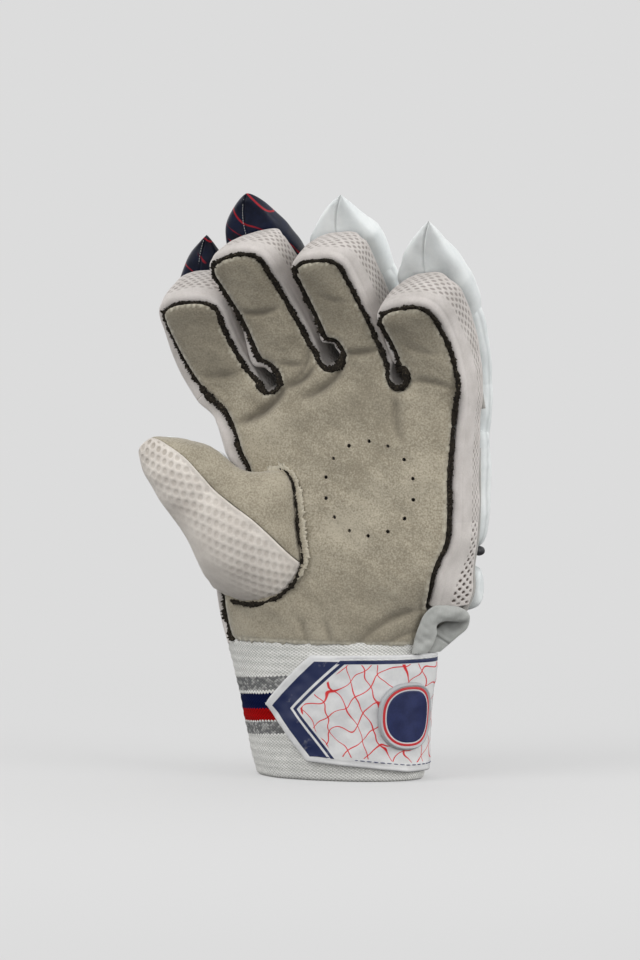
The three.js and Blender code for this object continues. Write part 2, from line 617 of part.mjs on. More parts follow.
FINGERS.forEach((finger, i) => {
  const slot = i < 2 ? "navy_leather" : "white_leather";
  for (const roll of ROLLS)
    add(finger.name + "_" + roll.name, "white_leather", pillow(12, 10, (along, side, deep) =>
      rollPoint(i, lerp(roll.from, roll.to, (along + 1) / 2), side, deep)));
  add(finger.name + "_tip", slot, pillow(14, 14, (along, side, deep) => {
    const at = along < 0 ? lerp(1, 0.6, -along) : 1;
    const rise = Math.max(0, along);
    // The ball's own round end is undone, and the tip narrows to a point instead
    const ball = Math.sqrt(Math.max(1e-6, 1 - blunt(along, 1 / 0.8) ** 2)) ** BLUNT;
    const narrow = rise > 0 ? (1 - rise ** finger.tipSharp) ** finger.tipPower / ball : 1;
    const p = rollPoint(i, at, side * narrow, deep * narrow, rise * finger.tipRise, finger.tipHalf, finger.tipShift);
    return p.addScaledVector(RIGHT, finger.tipLean * rise * rise);
  }));
});

// The knitted cuff, open at both ends
const ring = (segments, rows, place) => {
  const profile = [];
  for (let k = 0; k <= rows; k++) profile.push(new THREE.Vector2(2, k / rows));
  for (let k = rows; k >= 0; k--) profile.push(new THREE.Vector2(1, k / rows));
  profile.push(profile[0].clone());
  return shaped(new THREE.LatheGeometry(profile, segments), (x, y, z) =>
    place(Math.atan2(x, z), y, Math.hypot(x, z) - 1));
};
const cuffTop = CUFF[CUFF.length - 1].z;
add("cuff", "knit", ring(28, 4, (angle, up, out) => ovalPoint(angle, up * cuffTop, KNIT * (out - 1))));

// The strap, a band round the cuff with a pointed end, and the badge on it
function strapEdges(angle) {
  const [lowShoulder, lowSide] = STRAP_LOW;
  const [highShoulder, highSide] = STRAP_HIGH;
  const side = THREE.MathUtils.clamp((angle - STRAP_SHOULDER) / 70, 0, 1);
  const low = lerp(lowShoulder, lowSide, side);
  const high = lerp(highShoulder, highSide, side);
  const point = THREE.MathUtils.clamp((angle - STRAP_POINT) / (STRAP_SHOULDER - STRAP_POINT), 0.04, 1);
  return [lerp(STRAP_POINT_Z, low, point), lerp(STRAP_POINT_Z, high, point)];
}
const strapAngles = (u) =>
  u < 0.25 ? lerp(STRAP_POINT, STRAP_SHOULDER, u / 0.25) : lerp(STRAP_SHOULDER, STRAP_END, (u - 0.25) / 0.75);
add("strap", "strap_leather", sheet(24, 4, (u, v, w) => {
  const angle = strapAngles(u);
  const [low, high] = strapEdges(angle);
  return ovalPoint(degToRad(angle), lerp(low, high, v), GAP + STRAP * w);
}));
add("strap_badge", "badge_rubber", shaped(new THREE.CylinderGeometry(1, 1, 1, 20), (x, y, z) => {
  const arc = 36; // length of the oval's edge for each radian, near the badge
  const angle = degToRad(BADGE.at) + (BADGE.halfArc / arc) * x;
  return ovalPoint(angle, BADGE.z + BADGE.halfHigh * z, 2 * GAP + STRAP + 0.6 + BADGE.deep * (y + 0.5));
}));

// White tape round the wrist's slit on the little-finger side: up the palm's edge, over and down the back's
// Each row is a point of the tape's outer edge, then one of its inner edge
const TAPE_THICK = 1.6;
const TAPE_EDGES = [
  [43.8, -13.2, 62.5, 50.1, -10.5, 62],
  [45.1, -13.6, 70.5, 53.2, -10.2, 68.5],
  [47.8, -14.2, 78, 55.2, -9.8, 74],
  [51.2, -14.6, 84.5, 55.3, -9.5, 78.5],
  [54.9, -13, 88, 57.2, -8, 80],
  [60.4, -8, 88.2, 60.3, -5, 80.2],
  [65, -2, 86.8, 62.4, -1, 79.8],
  [67.4, 4, 83, 62.8, 2, 77],
  [65.8, 6, 76.5, 59.2, 3, 73.5],
  [60.5, 5, 71.8, 55.7, 1, 70.5],
  [55.7, 3.5, 67.5, 52.2, -1, 67.5],
  [52, 2.6, 62.8, 49.3, -2.4, 62.9],
];
const tapeEdge = (first) => new THREE.CatmullRomCurve3(TAPE_EDGES.map((row) => V(...row.slice(first, first + 3))));
const [tapeOuter, tapeInner] = [tapeEdge(0), tapeEdge(3)];
add("wrist_tape", "white_leather", sheet(22, 2, (u, v, w) => {
  const [outer, inner] = [tapeOuter.getPoint(u), tapeInner.getPoint(u)];
  const along = tapeOuter.getTangent(u).add(tapeInner.getTangent(u));
  const through = along.cross(outer.clone().sub(inner)).normalize();
  return outer.lerp(inner, v).addScaledVector(through, TAPE_THICK * (w - 0.5));
}));

// The origin is at the middle of the base of the glove's box
glove.updateMatrixWorld(true);
const box = new THREE.Box3().setFromObject(glove);
const centre = box.getCenter(V());
glove.position.set(-centre.x, -centre.y, -box.min.z);

export default glove;
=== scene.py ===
# %% [markdown]
# # A cricket batting glove
#
# This lesson dresses a glove that is already built as plain solids. The solids give each piece its place
# and size. Every piece is made again here with its real surface: brushed suede with creases, knitted air
# mesh with holes, padded leather with seams, ribbed knit and a printed strap.
#
# The glove is made of curved sheets, so most pieces start as one flat grid whose points are then laid on
# the glove's own curves. Padded pieces start as a ball. The same short tables drive both, as a pattern
# cutter's sheet does.

# %% The frame
import json

import bmesh
import bpy
import numpy as np
from mathutils import Euler, Matrix, Vector

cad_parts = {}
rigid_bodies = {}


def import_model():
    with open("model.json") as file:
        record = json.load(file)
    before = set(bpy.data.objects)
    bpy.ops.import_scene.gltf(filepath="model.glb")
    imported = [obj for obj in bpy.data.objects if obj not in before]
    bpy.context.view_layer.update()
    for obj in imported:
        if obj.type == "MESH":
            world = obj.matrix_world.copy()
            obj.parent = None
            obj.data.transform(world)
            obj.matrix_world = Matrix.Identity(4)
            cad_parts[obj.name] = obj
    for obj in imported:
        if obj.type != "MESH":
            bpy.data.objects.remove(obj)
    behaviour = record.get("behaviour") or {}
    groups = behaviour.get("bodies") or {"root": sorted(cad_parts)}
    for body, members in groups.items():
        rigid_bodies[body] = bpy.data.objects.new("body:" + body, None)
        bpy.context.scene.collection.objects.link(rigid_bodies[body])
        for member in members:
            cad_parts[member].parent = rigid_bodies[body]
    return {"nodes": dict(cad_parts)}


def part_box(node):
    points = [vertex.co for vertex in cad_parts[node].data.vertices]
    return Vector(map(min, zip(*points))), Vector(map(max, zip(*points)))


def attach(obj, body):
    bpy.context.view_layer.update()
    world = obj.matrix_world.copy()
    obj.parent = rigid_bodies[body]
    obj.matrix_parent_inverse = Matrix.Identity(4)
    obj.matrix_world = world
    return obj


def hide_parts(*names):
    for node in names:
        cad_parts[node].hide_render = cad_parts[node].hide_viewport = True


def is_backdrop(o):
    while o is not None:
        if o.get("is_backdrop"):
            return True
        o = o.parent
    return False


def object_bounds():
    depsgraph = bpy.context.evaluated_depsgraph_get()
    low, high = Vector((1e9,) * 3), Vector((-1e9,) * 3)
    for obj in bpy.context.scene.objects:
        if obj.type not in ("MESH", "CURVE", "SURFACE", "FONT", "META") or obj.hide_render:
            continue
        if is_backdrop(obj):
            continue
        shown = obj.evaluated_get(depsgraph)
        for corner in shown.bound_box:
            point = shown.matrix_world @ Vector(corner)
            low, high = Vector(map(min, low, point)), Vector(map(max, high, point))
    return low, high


for item in list(bpy.data.objects):
    bpy.data.objects.remove(item)
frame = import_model()
cad_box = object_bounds()
print("CAD pieces:", len(frame["nodes"]))

# %% [markdown]
# ## Working in the pattern's millimetres
#
# The pattern is drawn in millimetres round the wrist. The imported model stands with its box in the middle,
# so one shift, read from the cuff's box, takes the pattern to its place. Doing this once at the end keeps
# every table readable.

# %% The pattern's units and place
MM = 0.001
CUFF_MIDDLE_X = -6.0
cuff_low, cuff_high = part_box("cuff")
cuff_x = (cuff_low.x + cuff_high.x) / 2 / MM
cuff_y = (cuff_low.y + cuff_high.y) / 2 / MM
SHIFT = np.array([cuff_x - CUFF_MIDDLE_X, cuff_y, 0])
print("pattern shift, mm:", SHIFT.round(2))


def metres(points):
    return (np.asarray(points) + SHIFT) * MM


def lerp(a, b, share):
    return a + (b - a) * share


def ramp(value, low, high):
    share = np.clip((value - low) / (high - low), 0, 1)
    return share * share * (3 - 2 * share)


def unit(vectors):
    return vectors / np.maximum(np.linalg.norm(vectors, axis=-1, keepdims=True), 1e-9)


def hump(value, middle, wide):
    """A smooth bump of height 1 where value is middle, gone about two widths away."""
    return np.exp(-(((value - middle) / wide) ** 2))


def blunt(value, power):
    return np.sign(value) * np.abs(value) ** power


def stack(x, y, z):
    return np.stack(np.broadcast_arrays(x, y, z), axis=-1).astype(float)


def tall(values):
    return np.asarray(values, float)[..., None]


X, Y, Z = np.eye(3)

# %% [markdown]
# ## The pattern's tables
#
# A glove has few driving sizes: the edges of the hand at some heights, a centre line for each finger, the
# cuff's oval, and rings along the thumb. A smooth curve through each column gives every size in between.
#
# Most rows were chosen one by one. A separate fitting program gave these: the thumb's x, z, wide and deep
# up to step 6, the shares of its base, and further down the front column of its seams and the rows of the
# caps.

# %% Sizes of the hand, fingers, cuff and thumb
SUEDE = 1.6
MESH = 1.6
GAP = 0.5
STRAP = 2.2
PAD_DEEP = 17.0
CURL_POWER = 1.8
TIP_SQUARE = 2.5
ROOT_DEEP = 27.0
END_DEEP = 20.0
FLARE = 1.1
CROTCH_DEEP = 24.0
FINGER_BULGE = 2.5
PALM_Y = -22.0
PALM_ROUND = 8.0
PALM_MIDDLE_X = 3.0
PALM_HALF = 66.0
BACK_Y = 9.0
BACKING = 2.0
BLEND_LOW = 65.4
BLEND_TOP = 104.0
VENT_TOP = 88.0
HAND_LOW = 66.0
HAND_TOP = 188.0


def table(names, *rows):
    """Rows of numbers under named columns."""
    return [dict(zip(names.split(), row)) for row in rows]


FINGER_NAMES = ("index", "middle", "ring", "little")
FINGERS = table(
    "rootX rootZ midX midZ endX endZ leftFrom rightFrom rootHalf endHalf curl shift rollHalf "
    "frontRise rearRise leftAdd rightAdd",
    (-50, 192, -65.5, 211, -68.2, 230.3, 0.2, 0.04, 14.8, 17.2, 13, 2, 17.2, 11.8, 14.2, 0, 0),
    (-17.5, 206, -29.5, 231, -38.3, 253, 0.2, 0, 14, 15.5, 18, 3, 18, 13.4, 8.6, 1.7, 1.7),
    (19.5, 208, 9.5, 233, 5, 252, 0.33, -0.1, 14.3, 14.5, 18, 5, 18.8, 12.6, 8.8, 0, 0),
    (56, 195, 52.8, 214.5, 48.9, 227.6, 0.34, 0.02, 15.6, 16.4, 13, 6, 18.0, 14.4, 13.6, 0.9, 0),
)
CROTCHES = table(
    "leftX leftZ lowX lowZ turnX turnZ rightX rightZ topX topZ",
    (-34.6, 197.6, -31.2, 194.6, -28, 196, -26.2, 200, -29, 204.6),
    (-2.6, 210.6, 1.2, 207.2, 5.8, 208.6, 8.2, 213, 6.2, 217.6),
    (34.8, 201, 37.4, 198.2, 40.2, 198.8, 41.4, 201.4, 40.8, 204.6),
)
CROTCH_POINTS = ("left", "low", "turn", "right", "top")
HAND = table(
    "z left right backLeft backRight",
    (66, -55, 43, -58, 47),
    (78, -60, 48, -64, 61),
    (92, -60.5, 55, -67, 68),
    (106, -60, 60, -69, 68),
    (120, -57, 66, -69, 70),
    (136, -49, 67, -67, 71),
    (152, -43.5, 67, -63.5, 71),
    (165, -50, 68, -66, 71),
    (177, -54, 69, -69, 71.5),
    (188, -63.5, 70, -73, 72),
)
CUFF = table("z x half deep", (0, -0.5, 44.5, 27), (30, -3.3, 48.2, 28), (65.4, -6, 54.6, 27))
THUMB = table(
    "step x y z wide deep turn",
    (0, -39.9, -7, 117, 33.4, 31.1, 10),
    (1, -41.4, -15, 119, 32.9, 30.6, 19),
    (2, -44.4, -27, 127.7, 30.8, 21.6, 50),
    (3, -55.6, -34, 138.5, 22.2, 14.6, 80),
    (4, -67.7, -38, 152.4, 19.2, 16, 90),
    (5, -79.8, -40, 161.2, 12.8, 12.4, 95),
    (6, -86.6, -41, 166, 7.2, 8.4, 95),
    (7, -90, -41, 167, 3, 3, 95),
)
THUMB_BASE = table(
    "turn share", (-30, 1.073), (0, 1.173), (20, 1.007), (45, 0.924), (70, 1.042), (95, 1.051),
    (120, 1.019), (150, 0.963), (190, 1.0)
)
THUMB_LINE = unit(np.array([-0.74, 0, 0.67]))
THUMB_ACROSS = unit(np.array([0.67, 0, 0.74]))


def column(rows, name, at, key="z"):
    """One column of a table at any place, on a smooth curve through its rows."""
    x = np.array([row[key] for row in rows], float)
    y = np.array([row[name] for row in rows], float)
    slope = np.gradient(y, x)
    at = np.clip(at, x[0], x[-1])
    i = np.clip(np.searchsorted(x, at, side="right") - 1, 0, len(x) - 2)
    width = x[i + 1] - x[i]
    t = (at - x[i]) / width
    start = y[i] * (1 + 2 * t) * (1 - t) ** 2 + slope[i] * width * t * (1 - t) ** 2
    return start + y[i + 1] * t**2 * (3 - 2 * t) + slope[i + 1] * width * t**2 * (t - 1)


print("the hand is widest at", float(column(HAND, "right", 180.0) - column(HAND, "left", 180.0)), "mm")

# %% [markdown]
# ## The surfaces that the pieces lie on
#
# The palm is almost flat and rounds back at its edges. Near the wrist it blends into the cuff's oval. Each
# finger is a frame that runs along a curve: a point on it is so far along, across, and deep from palm to
# back.

# %% The palm, the back and the cuff as formulas
def oval_point(angle, z, out):
    half = column(CUFF, "half", z) + out
    deep = column(CUFF, "deep", z) + out
    return stack(column(CUFF, "x", z) + half * np.sin(angle), -deep * np.cos(angle), z)


def oval_depth(x):
    top = CUFF[-1]
    share = np.minimum(1, np.abs(x - top["x"]) / top["half"])
    return top["deep"] * np.sqrt(1 - share * share)


def palm_y(x, z):
    share = np.minimum(1.1, np.abs((x - PALM_MIDDLE_X) / PALM_HALF))
    flat = PALM_Y + PALM_ROUND * share**3
    return lerp(-np.maximum(3, oval_depth(x)), flat, ramp(z, BLEND_LOW, BLEND_TOP))


def back_y(x, z):
    return lerp(np.maximum(1, oval_depth(x) - BACKING), BACK_Y, ramp(z, BLEND_LOW, BLEND_TOP))


# %% A finger's frame
def finger_line(finger, t):
    t = np.asarray(t, float)
    root, mid, end = (np.array([finger[at + "X"], 0, finger[at + "Z"]]) for at in ("root", "mid", "end"))
    line = root * tall(1 - t) ** 2 + 2 * mid * tall(t * (1 - t)) + end * tall(t) ** 2
    line[..., 1] = palm_y(finger["rootX"], finger["rootZ"]) - finger["curl"] * t**CURL_POWER
    return line


def finger_length(finger):
    flat = finger_line(finger, np.linspace(0, 1, 200))[:, [0, 2]]
    return np.linalg.norm(np.diff(flat, axis=0), axis=1).sum()


def finger_frame(finger, along):
    along = np.asarray(along, float)
    inside = np.clip(along, 0, 1)
    forward = unit(
        finger_line(finger, np.minimum(1, inside + 0.01)) - finger_line(finger, np.maximum(0, inside - 0.01))
    )
    origin = finger_line(finger, inside) + forward * tall((along - inside) * finger_length(finger))
    across = unit(X - forward * forward[..., :1])
    return origin, forward, across, np.cross(forward, across)


def finger_point(finger, along, side, deep, beyond=0.0):
    along = np.broadcast_arrays(along, side, deep, beyond)[0]
    origin, forward, across, back = finger_frame(finger, along)
    return origin + across * tall(side) + back * tall(deep) + forward * tall(beyond)


def half_of(finger, along):
    return lerp(finger["rootHalf"], finger["endHalf"], np.clip(along, 0, 1))


def deep_of(along):
    return lerp(ROOT_DEEP, END_DEEP, np.clip(along, 0, 1))


print("finger lengths, mm:", [round(float(finger_length(f)), 1) for f in FINGERS])

# %% [markdown]
# ## The outline
#
# The palm leather, its dark binding and the mesh walls all follow one outline: up the thumb's side, round
# the four fingers and down the little finger's side. It is worked out once as stations. Each has a front
# point on the palm side and a rear point where the wall meets the back, and a smooth curve joins them.

# %% Stations along the outline
SIDE_STEPS = 8
TIP_STEPS = 14
HAND_STEPS = 14
EDGE_STEP = 0.5


def finger_stations(finger):
    left = lerp(finger["leftFrom"], 1, np.linspace(0, 1, SIDE_STEPS, endpoint=False))
    right = lerp(finger["rightFrom"], 1, np.linspace(0, 1, SIDE_STEPS, endpoint=False))[::-1]
    angle = np.linspace(0, np.pi, TIP_STEPS + 1)
    along = np.concatenate([left, np.ones(TIP_STEPS + 1), right])
    half, right_add = finger["endHalf"], finger["rightAdd"]
    round_side = lerp(-half, half + right_add, (1 - blunt(np.cos(angle), 2 / TIP_SQUARE)) / 2)
    left_add = finger["leftAdd"] * (1 - ramp(left, 0.25, 0.6))
    side = np.concatenate([-half_of(finger, left) - left_add, round_side, half_of(finger, right) + right_add])
    rise = np.abs(np.sin(angle)) ** (2 / TIP_SQUARE)
    beyond = np.concatenate([np.zeros(SIDE_STEPS), rise, np.zeros(SIDE_STEPS)])
    shift = finger["shift"] * np.clip(along, 0, 1)
    front = finger_point(finger, along, side, 0.0, beyond * finger["frontRise"])
    rear = finger_point(finger, along, side * FLARE + shift, deep_of(along), beyond * finger["rearRise"])
    return np.hstack([front, rear])


def crotch_stations(before, after, crotch):
    x = np.array([crotch[point + "X"] for point in CROTCH_POINTS])
    z = np.array([crotch[point + "Z"] for point in CROTCH_POINTS])
    middle = (before[-1, 3] + after[0, 3]) / 2
    y = palm_y(x, z)
    return np.hstack([stack(x, y, z), stack(lerp(x, middle, 0.45), y + CROTCH_DEEP, z + 2)])


def hand_stations(front, rear, bottom):
    z = np.linspace(bottom, HAND_TOP, HAND_STEPS + 1)
    x, rear_x = column(HAND, front, z), column(HAND, rear, z)
    return np.hstack([stack(x, palm_y(x, z), z), stack(rear_x, back_y(rear_x, z), z)])


finger_walls = [finger_stations(f) for f in FINGERS]
runs = [hand_stations("left", "backLeft", HAND_LOW + GAP)[:-1]]
marks = [len(runs[0])]
for n, wall in enumerate(finger_walls):
    runs.append(wall)
    if n < 3:
        marks.append(sum(map(len, runs)) + 2)
        runs.append(crotch_stations(wall, finger_walls[n + 1], CROTCHES[n]))
marks.append(sum(map(len, runs)) - 1)
runs.append(hand_stations("right", "backRight", VENT_TOP)[::-1][1:])
stations = np.vstack(runs)


# %% A smooth curve through the stations
def chord_of(points):
    return np.concatenate([[0], np.cumsum(np.linalg.norm(np.diff(points[:, :3], axis=0), axis=1))])


def curve_through(points, step):
    """Points at even steps on a smooth curve through the given ones."""
    chord = chord_of(points)
    at = np.linspace(0, chord[-1], max(2, int(chord[-1] / step)))
    rows = [{"at": c, **{str(k): v for k, v in enumerate(row)}} for c, row in zip(chord, points)]
    return np.stack([column(rows, str(k), at, key="at") for k in range(points.shape[1])], axis=1)


def smoothed(values, reach):
    """A running mean over reach samples each way, with the ends held."""
    padded = np.pad(values, [(reach, reach)] + [(0, 0)] * (values.ndim - 1), mode="edge")
    kernel = np.ones(2 * reach + 1) / (2 * reach + 1)
    return np.apply_along_axis(lambda values: np.convolve(values, kernel, mode="valid"), 0, padded)


curve = curve_through(stations, EDGE_STEP)
edge_front, edge_rear = curve[:, :3], curve[:, 3:]
edge_back = unit(edge_rear - edge_front)
edge_out = unit(smoothed(unit(np.cross(np.gradient(edge_front, axis=0), edge_back)), 3))
edge_at = chord_of(edge_front)
EDGE_LONG = edge_at[-1]
station_at = chord_of(stations) / chord_of(stations)[-1] * EDGE_LONG
MARKS = [0.0] + [float(station_at[k]) for k in marks] + [float(EDGE_LONG)]
print("the outline is", round(float(EDGE_LONG)), "mm long; walls meet at", np.round(MARKS))


def on_edge(at, values):
    """A value kept for each step of the outline, at any distances along it."""
    return np.stack([np.interp(at, edge_at, values[:, k]) for k in range(values.shape[1])], axis=-1)


# %% [markdown]
# ## Making a piece
#
# Three helpers are enough for nearly everything. One lays a flat grid on a formula, one swells a ball into
# a pad, and one finishes a mesh: it moves the mesh to its place, names it, gives it a material and hides
# the plain solids it stands for.


def grid(cells_u, cells_v):
    """A flat bmesh grid and each point's place on it, from 0 to 1 both ways."""
    bm = bmesh.new()
    bmesh.ops.create_grid(bm, x_segments=cells_u, y_segments=cells_v, size=0.5)
    bm.verts.ensure_lookup_table()
    flat = np.array([v.co[:2] for v in bm.verts]) + 0.5
    return bm, flat[:, 0].copy(), flat[:, 1].copy()


def move(bm, points):
    for vert, point in zip(bm.verts, np.asarray(points)):
        vert.co = Vector(point)


def paint(bm, name, values):
    """Keeps a number for each point, for the material to read."""
    layer = bm.verts.layers.float.get(name) or bm.verts.layers.float.new(name)
    for vert, value in zip(bm.verts, np.broadcast_to(values, len(bm.verts))):
        vert[layer] = float(value)


def lay_uv(bm, u, v):
    """Writes a UV map in metres from two distances in millimetres for each point."""
    layer = bm.loops.layers.uv.new("UVMap")
    bm.verts.index_update()
    pairs = np.stack([np.broadcast_to(u, len(bm.verts)), np.broadcast_to(v, len(bm.verts))], axis=1) * MM
    pairs = pairs.tolist()
    for face in bm.faces:
        for loop in face.loops:
            loop[layer].uv = pairs[loop.vert.index]


def face_outwards(bm, outward):
    """Turns the whole sheet over if most of its faces look away from the outward directions."""
    bm.normal_update()
    outward = np.broadcast_to(outward, (len(bm.verts), 3))
    looks = sum(v.normal.dot(Vector(o)) for v, o in zip(bm.verts, outward))
    if looks < 0:
        bmesh.ops.reverse_faces(bm, faces=bm.faces)


def finish(bm, name, material, nodes=(), thick=0.0):
    """Makes the object from a mesh in the pattern's millimetres."""
    sum(face.calc_area() for face in bm.faces) * MM * MM
    move(bm, metres([v.co for v in bm.verts]))
    for face in bm.faces:
        face.smooth = True
    mesh = bpy.data.meshes.new(name)
    bm.to_mesh(mesh)
    bm.free()
    piece = bpy.data.objects.new(name, mesh)
    bpy.context.scene.collection.objects.link(piece)
    for item in material if isinstance(material, (list, tuple)) else [material]:
        mesh.materials.append(item)
    if thick:
        solidify = piece.modifiers.new("wall", "SOLIDIFY")
        solidify.thickness = thick * MM
        solidify.offset = -1
        solidify.use_rim = True
    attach(piece, "root")
    if nodes:
        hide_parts(*nodes)
    print(name, len(mesh.polygons), "faces")
    return piece


def ripple(points, size, seed, waves=9):
    """A soft unevenness between about -1 and 1, made of a few crossing waves of one size."""
    draw = np.random.default_rng(seed)
    total = 0
    for _ in range(waves):
        direction = unit(draw.normal(size=3)) * 2 * np.pi / size * draw.uniform(0.7, 1.4)
        total = total + np.sin(np.asarray(points) @ direction + draw.uniform(0, 2 * np.pi))
    return total / np.sqrt(waves)


def ragged(count, reach, seed):
    """A row of uneven numbers around 0, smooth over the given reach of samples."""
    rough = np.random.default_rng(seed).normal(size=count)
    even = smoothed(rough[:, None], reach)[:, 0]
    return even / max(1e-9, even.std())


# %% [markdown]
# ## Materials
#
# Each finish is one procedural material. The effects that several of them share are node groups with named
# inputs: leather grain, uneven tone, and a lattice of holes. The groups put out only masks and heights, and
# the shader stays in the material.

# %% Helpers that build nodes
def put(tree, kind, inputs=None, **settings):
    """Adds a node. Each input is a number, a colour or another node's output."""
    made = tree.nodes.new(kind)
    for key, value in settings.items():
        setattr(made, key, value)
    for key, value in (inputs or {}).items():
        if isinstance(value, bpy.types.NodeSocket):
            tree.links.new(value, made.inputs[key])
        else:
            made.inputs[key].default_value = value
    return made


def maths(tree, operation, *values, clamp=False):
    made = put(tree, "ShaderNodeMath", dict(enumerate(values)), operation=operation, use_clamp=clamp)
    return made.outputs[0]


def times(tree, first, second, **settings):
    return maths(tree, "MULTIPLY", first, second, **settings)


def noise(tree, vector, scale, detail):
    """The outputs of a noise texture, Fac and Color."""
    return put(tree, "ShaderNodeTexNoise", {"Vector": vector, "Scale": scale, "Detail": detail}).outputs


def axes(tree, vector):
    return put(tree, "ShaderNodeSeparateXYZ", {"Vector": vector}).outputs


def between(tree, value, low, high, to_low=0.0, to_high=1.0):
    """Runs smoothly from to_low to to_high while value runs from low to high."""
    inputs = {"Value": value, "From Min": low, "From Max": high, "To Min": to_low, "To Max": to_high}
    return put(tree, "ShaderNodeMapRange", inputs, interpolation_type="SMOOTHSTEP").outputs["Result"]


def tint(tree, share, first, second, blend="MIX"):
    inputs = {"Factor": share, "A": first, "B": second}
    return put(tree, "ShaderNodeMix", inputs, data_type="RGBA", blend_type=blend).outputs["Result"]


def rgb(red, green, blue):
    """A colour given as it looks on a screen, 0 to 255."""
    share = np.array([red, green, blue]) / 255
    linear = np.where(share <= 0.04045, share / 12.92, ((share + 0.055) / 1.055) ** 2.4)
    return (*linear.tolist(), 1.0)


def group(name, inputs, outputs):
    """A node group with named number sockets, plus a Vector input."""
    tree = bpy.data.node_groups.new(name, "ShaderNodeTree")
    tree.interface.new_socket("Vector", in_out="INPUT", socket_type="NodeSocketVector")
    for label, value in inputs.items():
        tree.interface.new_socket(label, in_out="INPUT", socket_type="NodeSocketFloat").default_value = value
    for label in outputs:
        tree.interface.new_socket(label, in_out="OUTPUT", socket_type="NodeSocketFloat")
    return tree, tree.nodes.new("NodeGroupInput").outputs, tree.nodes.new("NodeGroupOutput").inputs


def use(tree, shared, vector, **values):
    made = tree.nodes.new("ShaderNodeGroup")
    made.node_tree = shared
    tree.links.new(vector, made.inputs["Vector"])
    for key, value in values.items():
        made.inputs[key.replace("_", " ")].default_value = value
    return made.outputs


def finish_shader(name, roughness, **constants):
    """A new material, its tree and its Principled shader with plain values set on it."""
    material = bpy.data.materials.new(name)
    material.use_nodes = True
    tree = material.node_tree
    shader = tree.nodes["Principled BSDF"]
    shader.inputs["Roughness"].default_value = roughness
    for key, value in constants.items():
        shader.inputs[key.replace("_", " ")].default_value = value
    return material, tree, shader


def bump(tree, shader, height, strength, distance):
    """Feeds a height in millimetres to the shader's normal."""
    inputs = {"Height": height, "Strength": strength, "Distance": distance * MM}
    made = put(tree, "ShaderNodeBump", inputs)
    tree.links.new(made.outputs["Normal"], shader.inputs["Normal"])


def place_of(tree):
    return tree.nodes.new("ShaderNodeTexCoord").outputs["Object"]


def uv_of(tree):
    return put(tree, "ShaderNodeUVMap", uv_map="UVMap").outputs["UV"]


def mark_of(tree, name):
    return put(tree, "ShaderNodeAttribute", attribute_name=name).outputs["Fac"]


# %% Shared effects
HOLE_EDGE = (0.65, 1.15)


def make_mottle():
    """Uneven tone: large soft patches with finer ones in them."""
    tree, given, out = group("mottle", {"Patch mm": 12.0, "Speck mm": 1.0, "Speck share": 0.4}, ["Tone"])
    large = maths(tree, "DIVIDE", 1000.0, given["Patch mm"])
    small = maths(tree, "DIVIDE", 1000.0, given["Speck mm"])
    soft = noise(tree, given["Vector"], large, 3.0)
    fine = noise(tree, given["Vector"], small, 2.0)
    both = {"Factor": given["Speck share"], "A": soft["Fac"], "B": fine["Fac"]}
    tree.links.new(put(tree, "ShaderNodeMix", both).outputs["Result"], out["Tone"])
    return tree


def make_grain():
    """Leather grain: small cells with soft valleys, and fine wrinkles between them."""
    tree, given, out = group("leather_grain", {"Cell mm": 0.8, "Wrinkle mm": 9.0}, ["Height"])
    cells = maths(tree, "DIVIDE", 1000.0, given["Cell mm"])
    folds = maths(tree, "DIVIDE", 1000.0, given["Wrinkle mm"])
    cell = put(
        tree, "ShaderNodeTexVoronoi", {"Vector": given["Vector"], "Scale": cells}, feature="DISTANCE_TO_EDGE"
    )
    valley = between(tree, cell.outputs["Distance"], 0.0, 0.22)
    wrinkle = noise(tree, given["Vector"], folds, 5.0)
    fold = between(tree, wrinkle["Fac"], 0.3, 0.7)
    height = maths(tree, "ADD", times(tree, valley, 0.35), times(tree, fold, 0.65))
    tree.links.new(height, out["Height"])
    return tree


def make_holes():
    """A staggered lattice of holes on a UV map in metres, 1 inside a hole. A low squash makes them long."""
    tree, given, out = group(
        "hole_lattice", {"Pitch U mm": 4.0, "Pitch V mm": 4.0, "Hole mm": 1.1, "Squash": 1.0}, ["Hole"])
    split = axes(tree, given["Vector"])
    nearest = None
    for offset in (0.0, 0.5):
        squares = []
        for axis, pitch in (("X", "Pitch U mm"), ("Y", "Pitch V mm")):
            cells = maths(tree, "DIVIDE", times(tree, split[axis], 1000.0), given[pitch])
            inside = maths(tree, "FRACT", maths(tree, "ADD", cells, offset))
            away = times(tree, maths(tree, "SUBTRACT", inside, 0.5), given[pitch])
            if axis == "X":
                away = times(tree, away, given["Squash"])
            squares.append(times(tree, away, away))
        far = maths(tree, "SQRT", maths(tree, "ADD", *squares))
        nearest = far if nearest is None else maths(tree, "MINIMUM", nearest, far)
    share = maths(tree, "DIVIDE", nearest, given["Hole mm"])
    tree.links.new(between(tree, share, *HOLE_EDGE, 1.0, 0.0), out["Hole"])
    return tree


mottle, leather_grain, hole_lattice = make_mottle(), make_grain(), make_holes()


def hole_share(u, v, pitch_u, pitch_v, hole, squash=1.0):
    """The same lattice for shaping the mesh itself. u and v are in millimetres."""
    nearest = np.inf
    for offset in (0.0, 0.5):
        away_u = ((u / pitch_u + offset) % 1 - 0.5) * pitch_u
        away_v = ((v / pitch_v + offset) % 1 - 0.5) * pitch_v
        nearest = np.minimum(nearest, np.hypot(away_u * squash, away_v))
    return 1 - ramp(nearest / hole, *HOLE_EDGE)
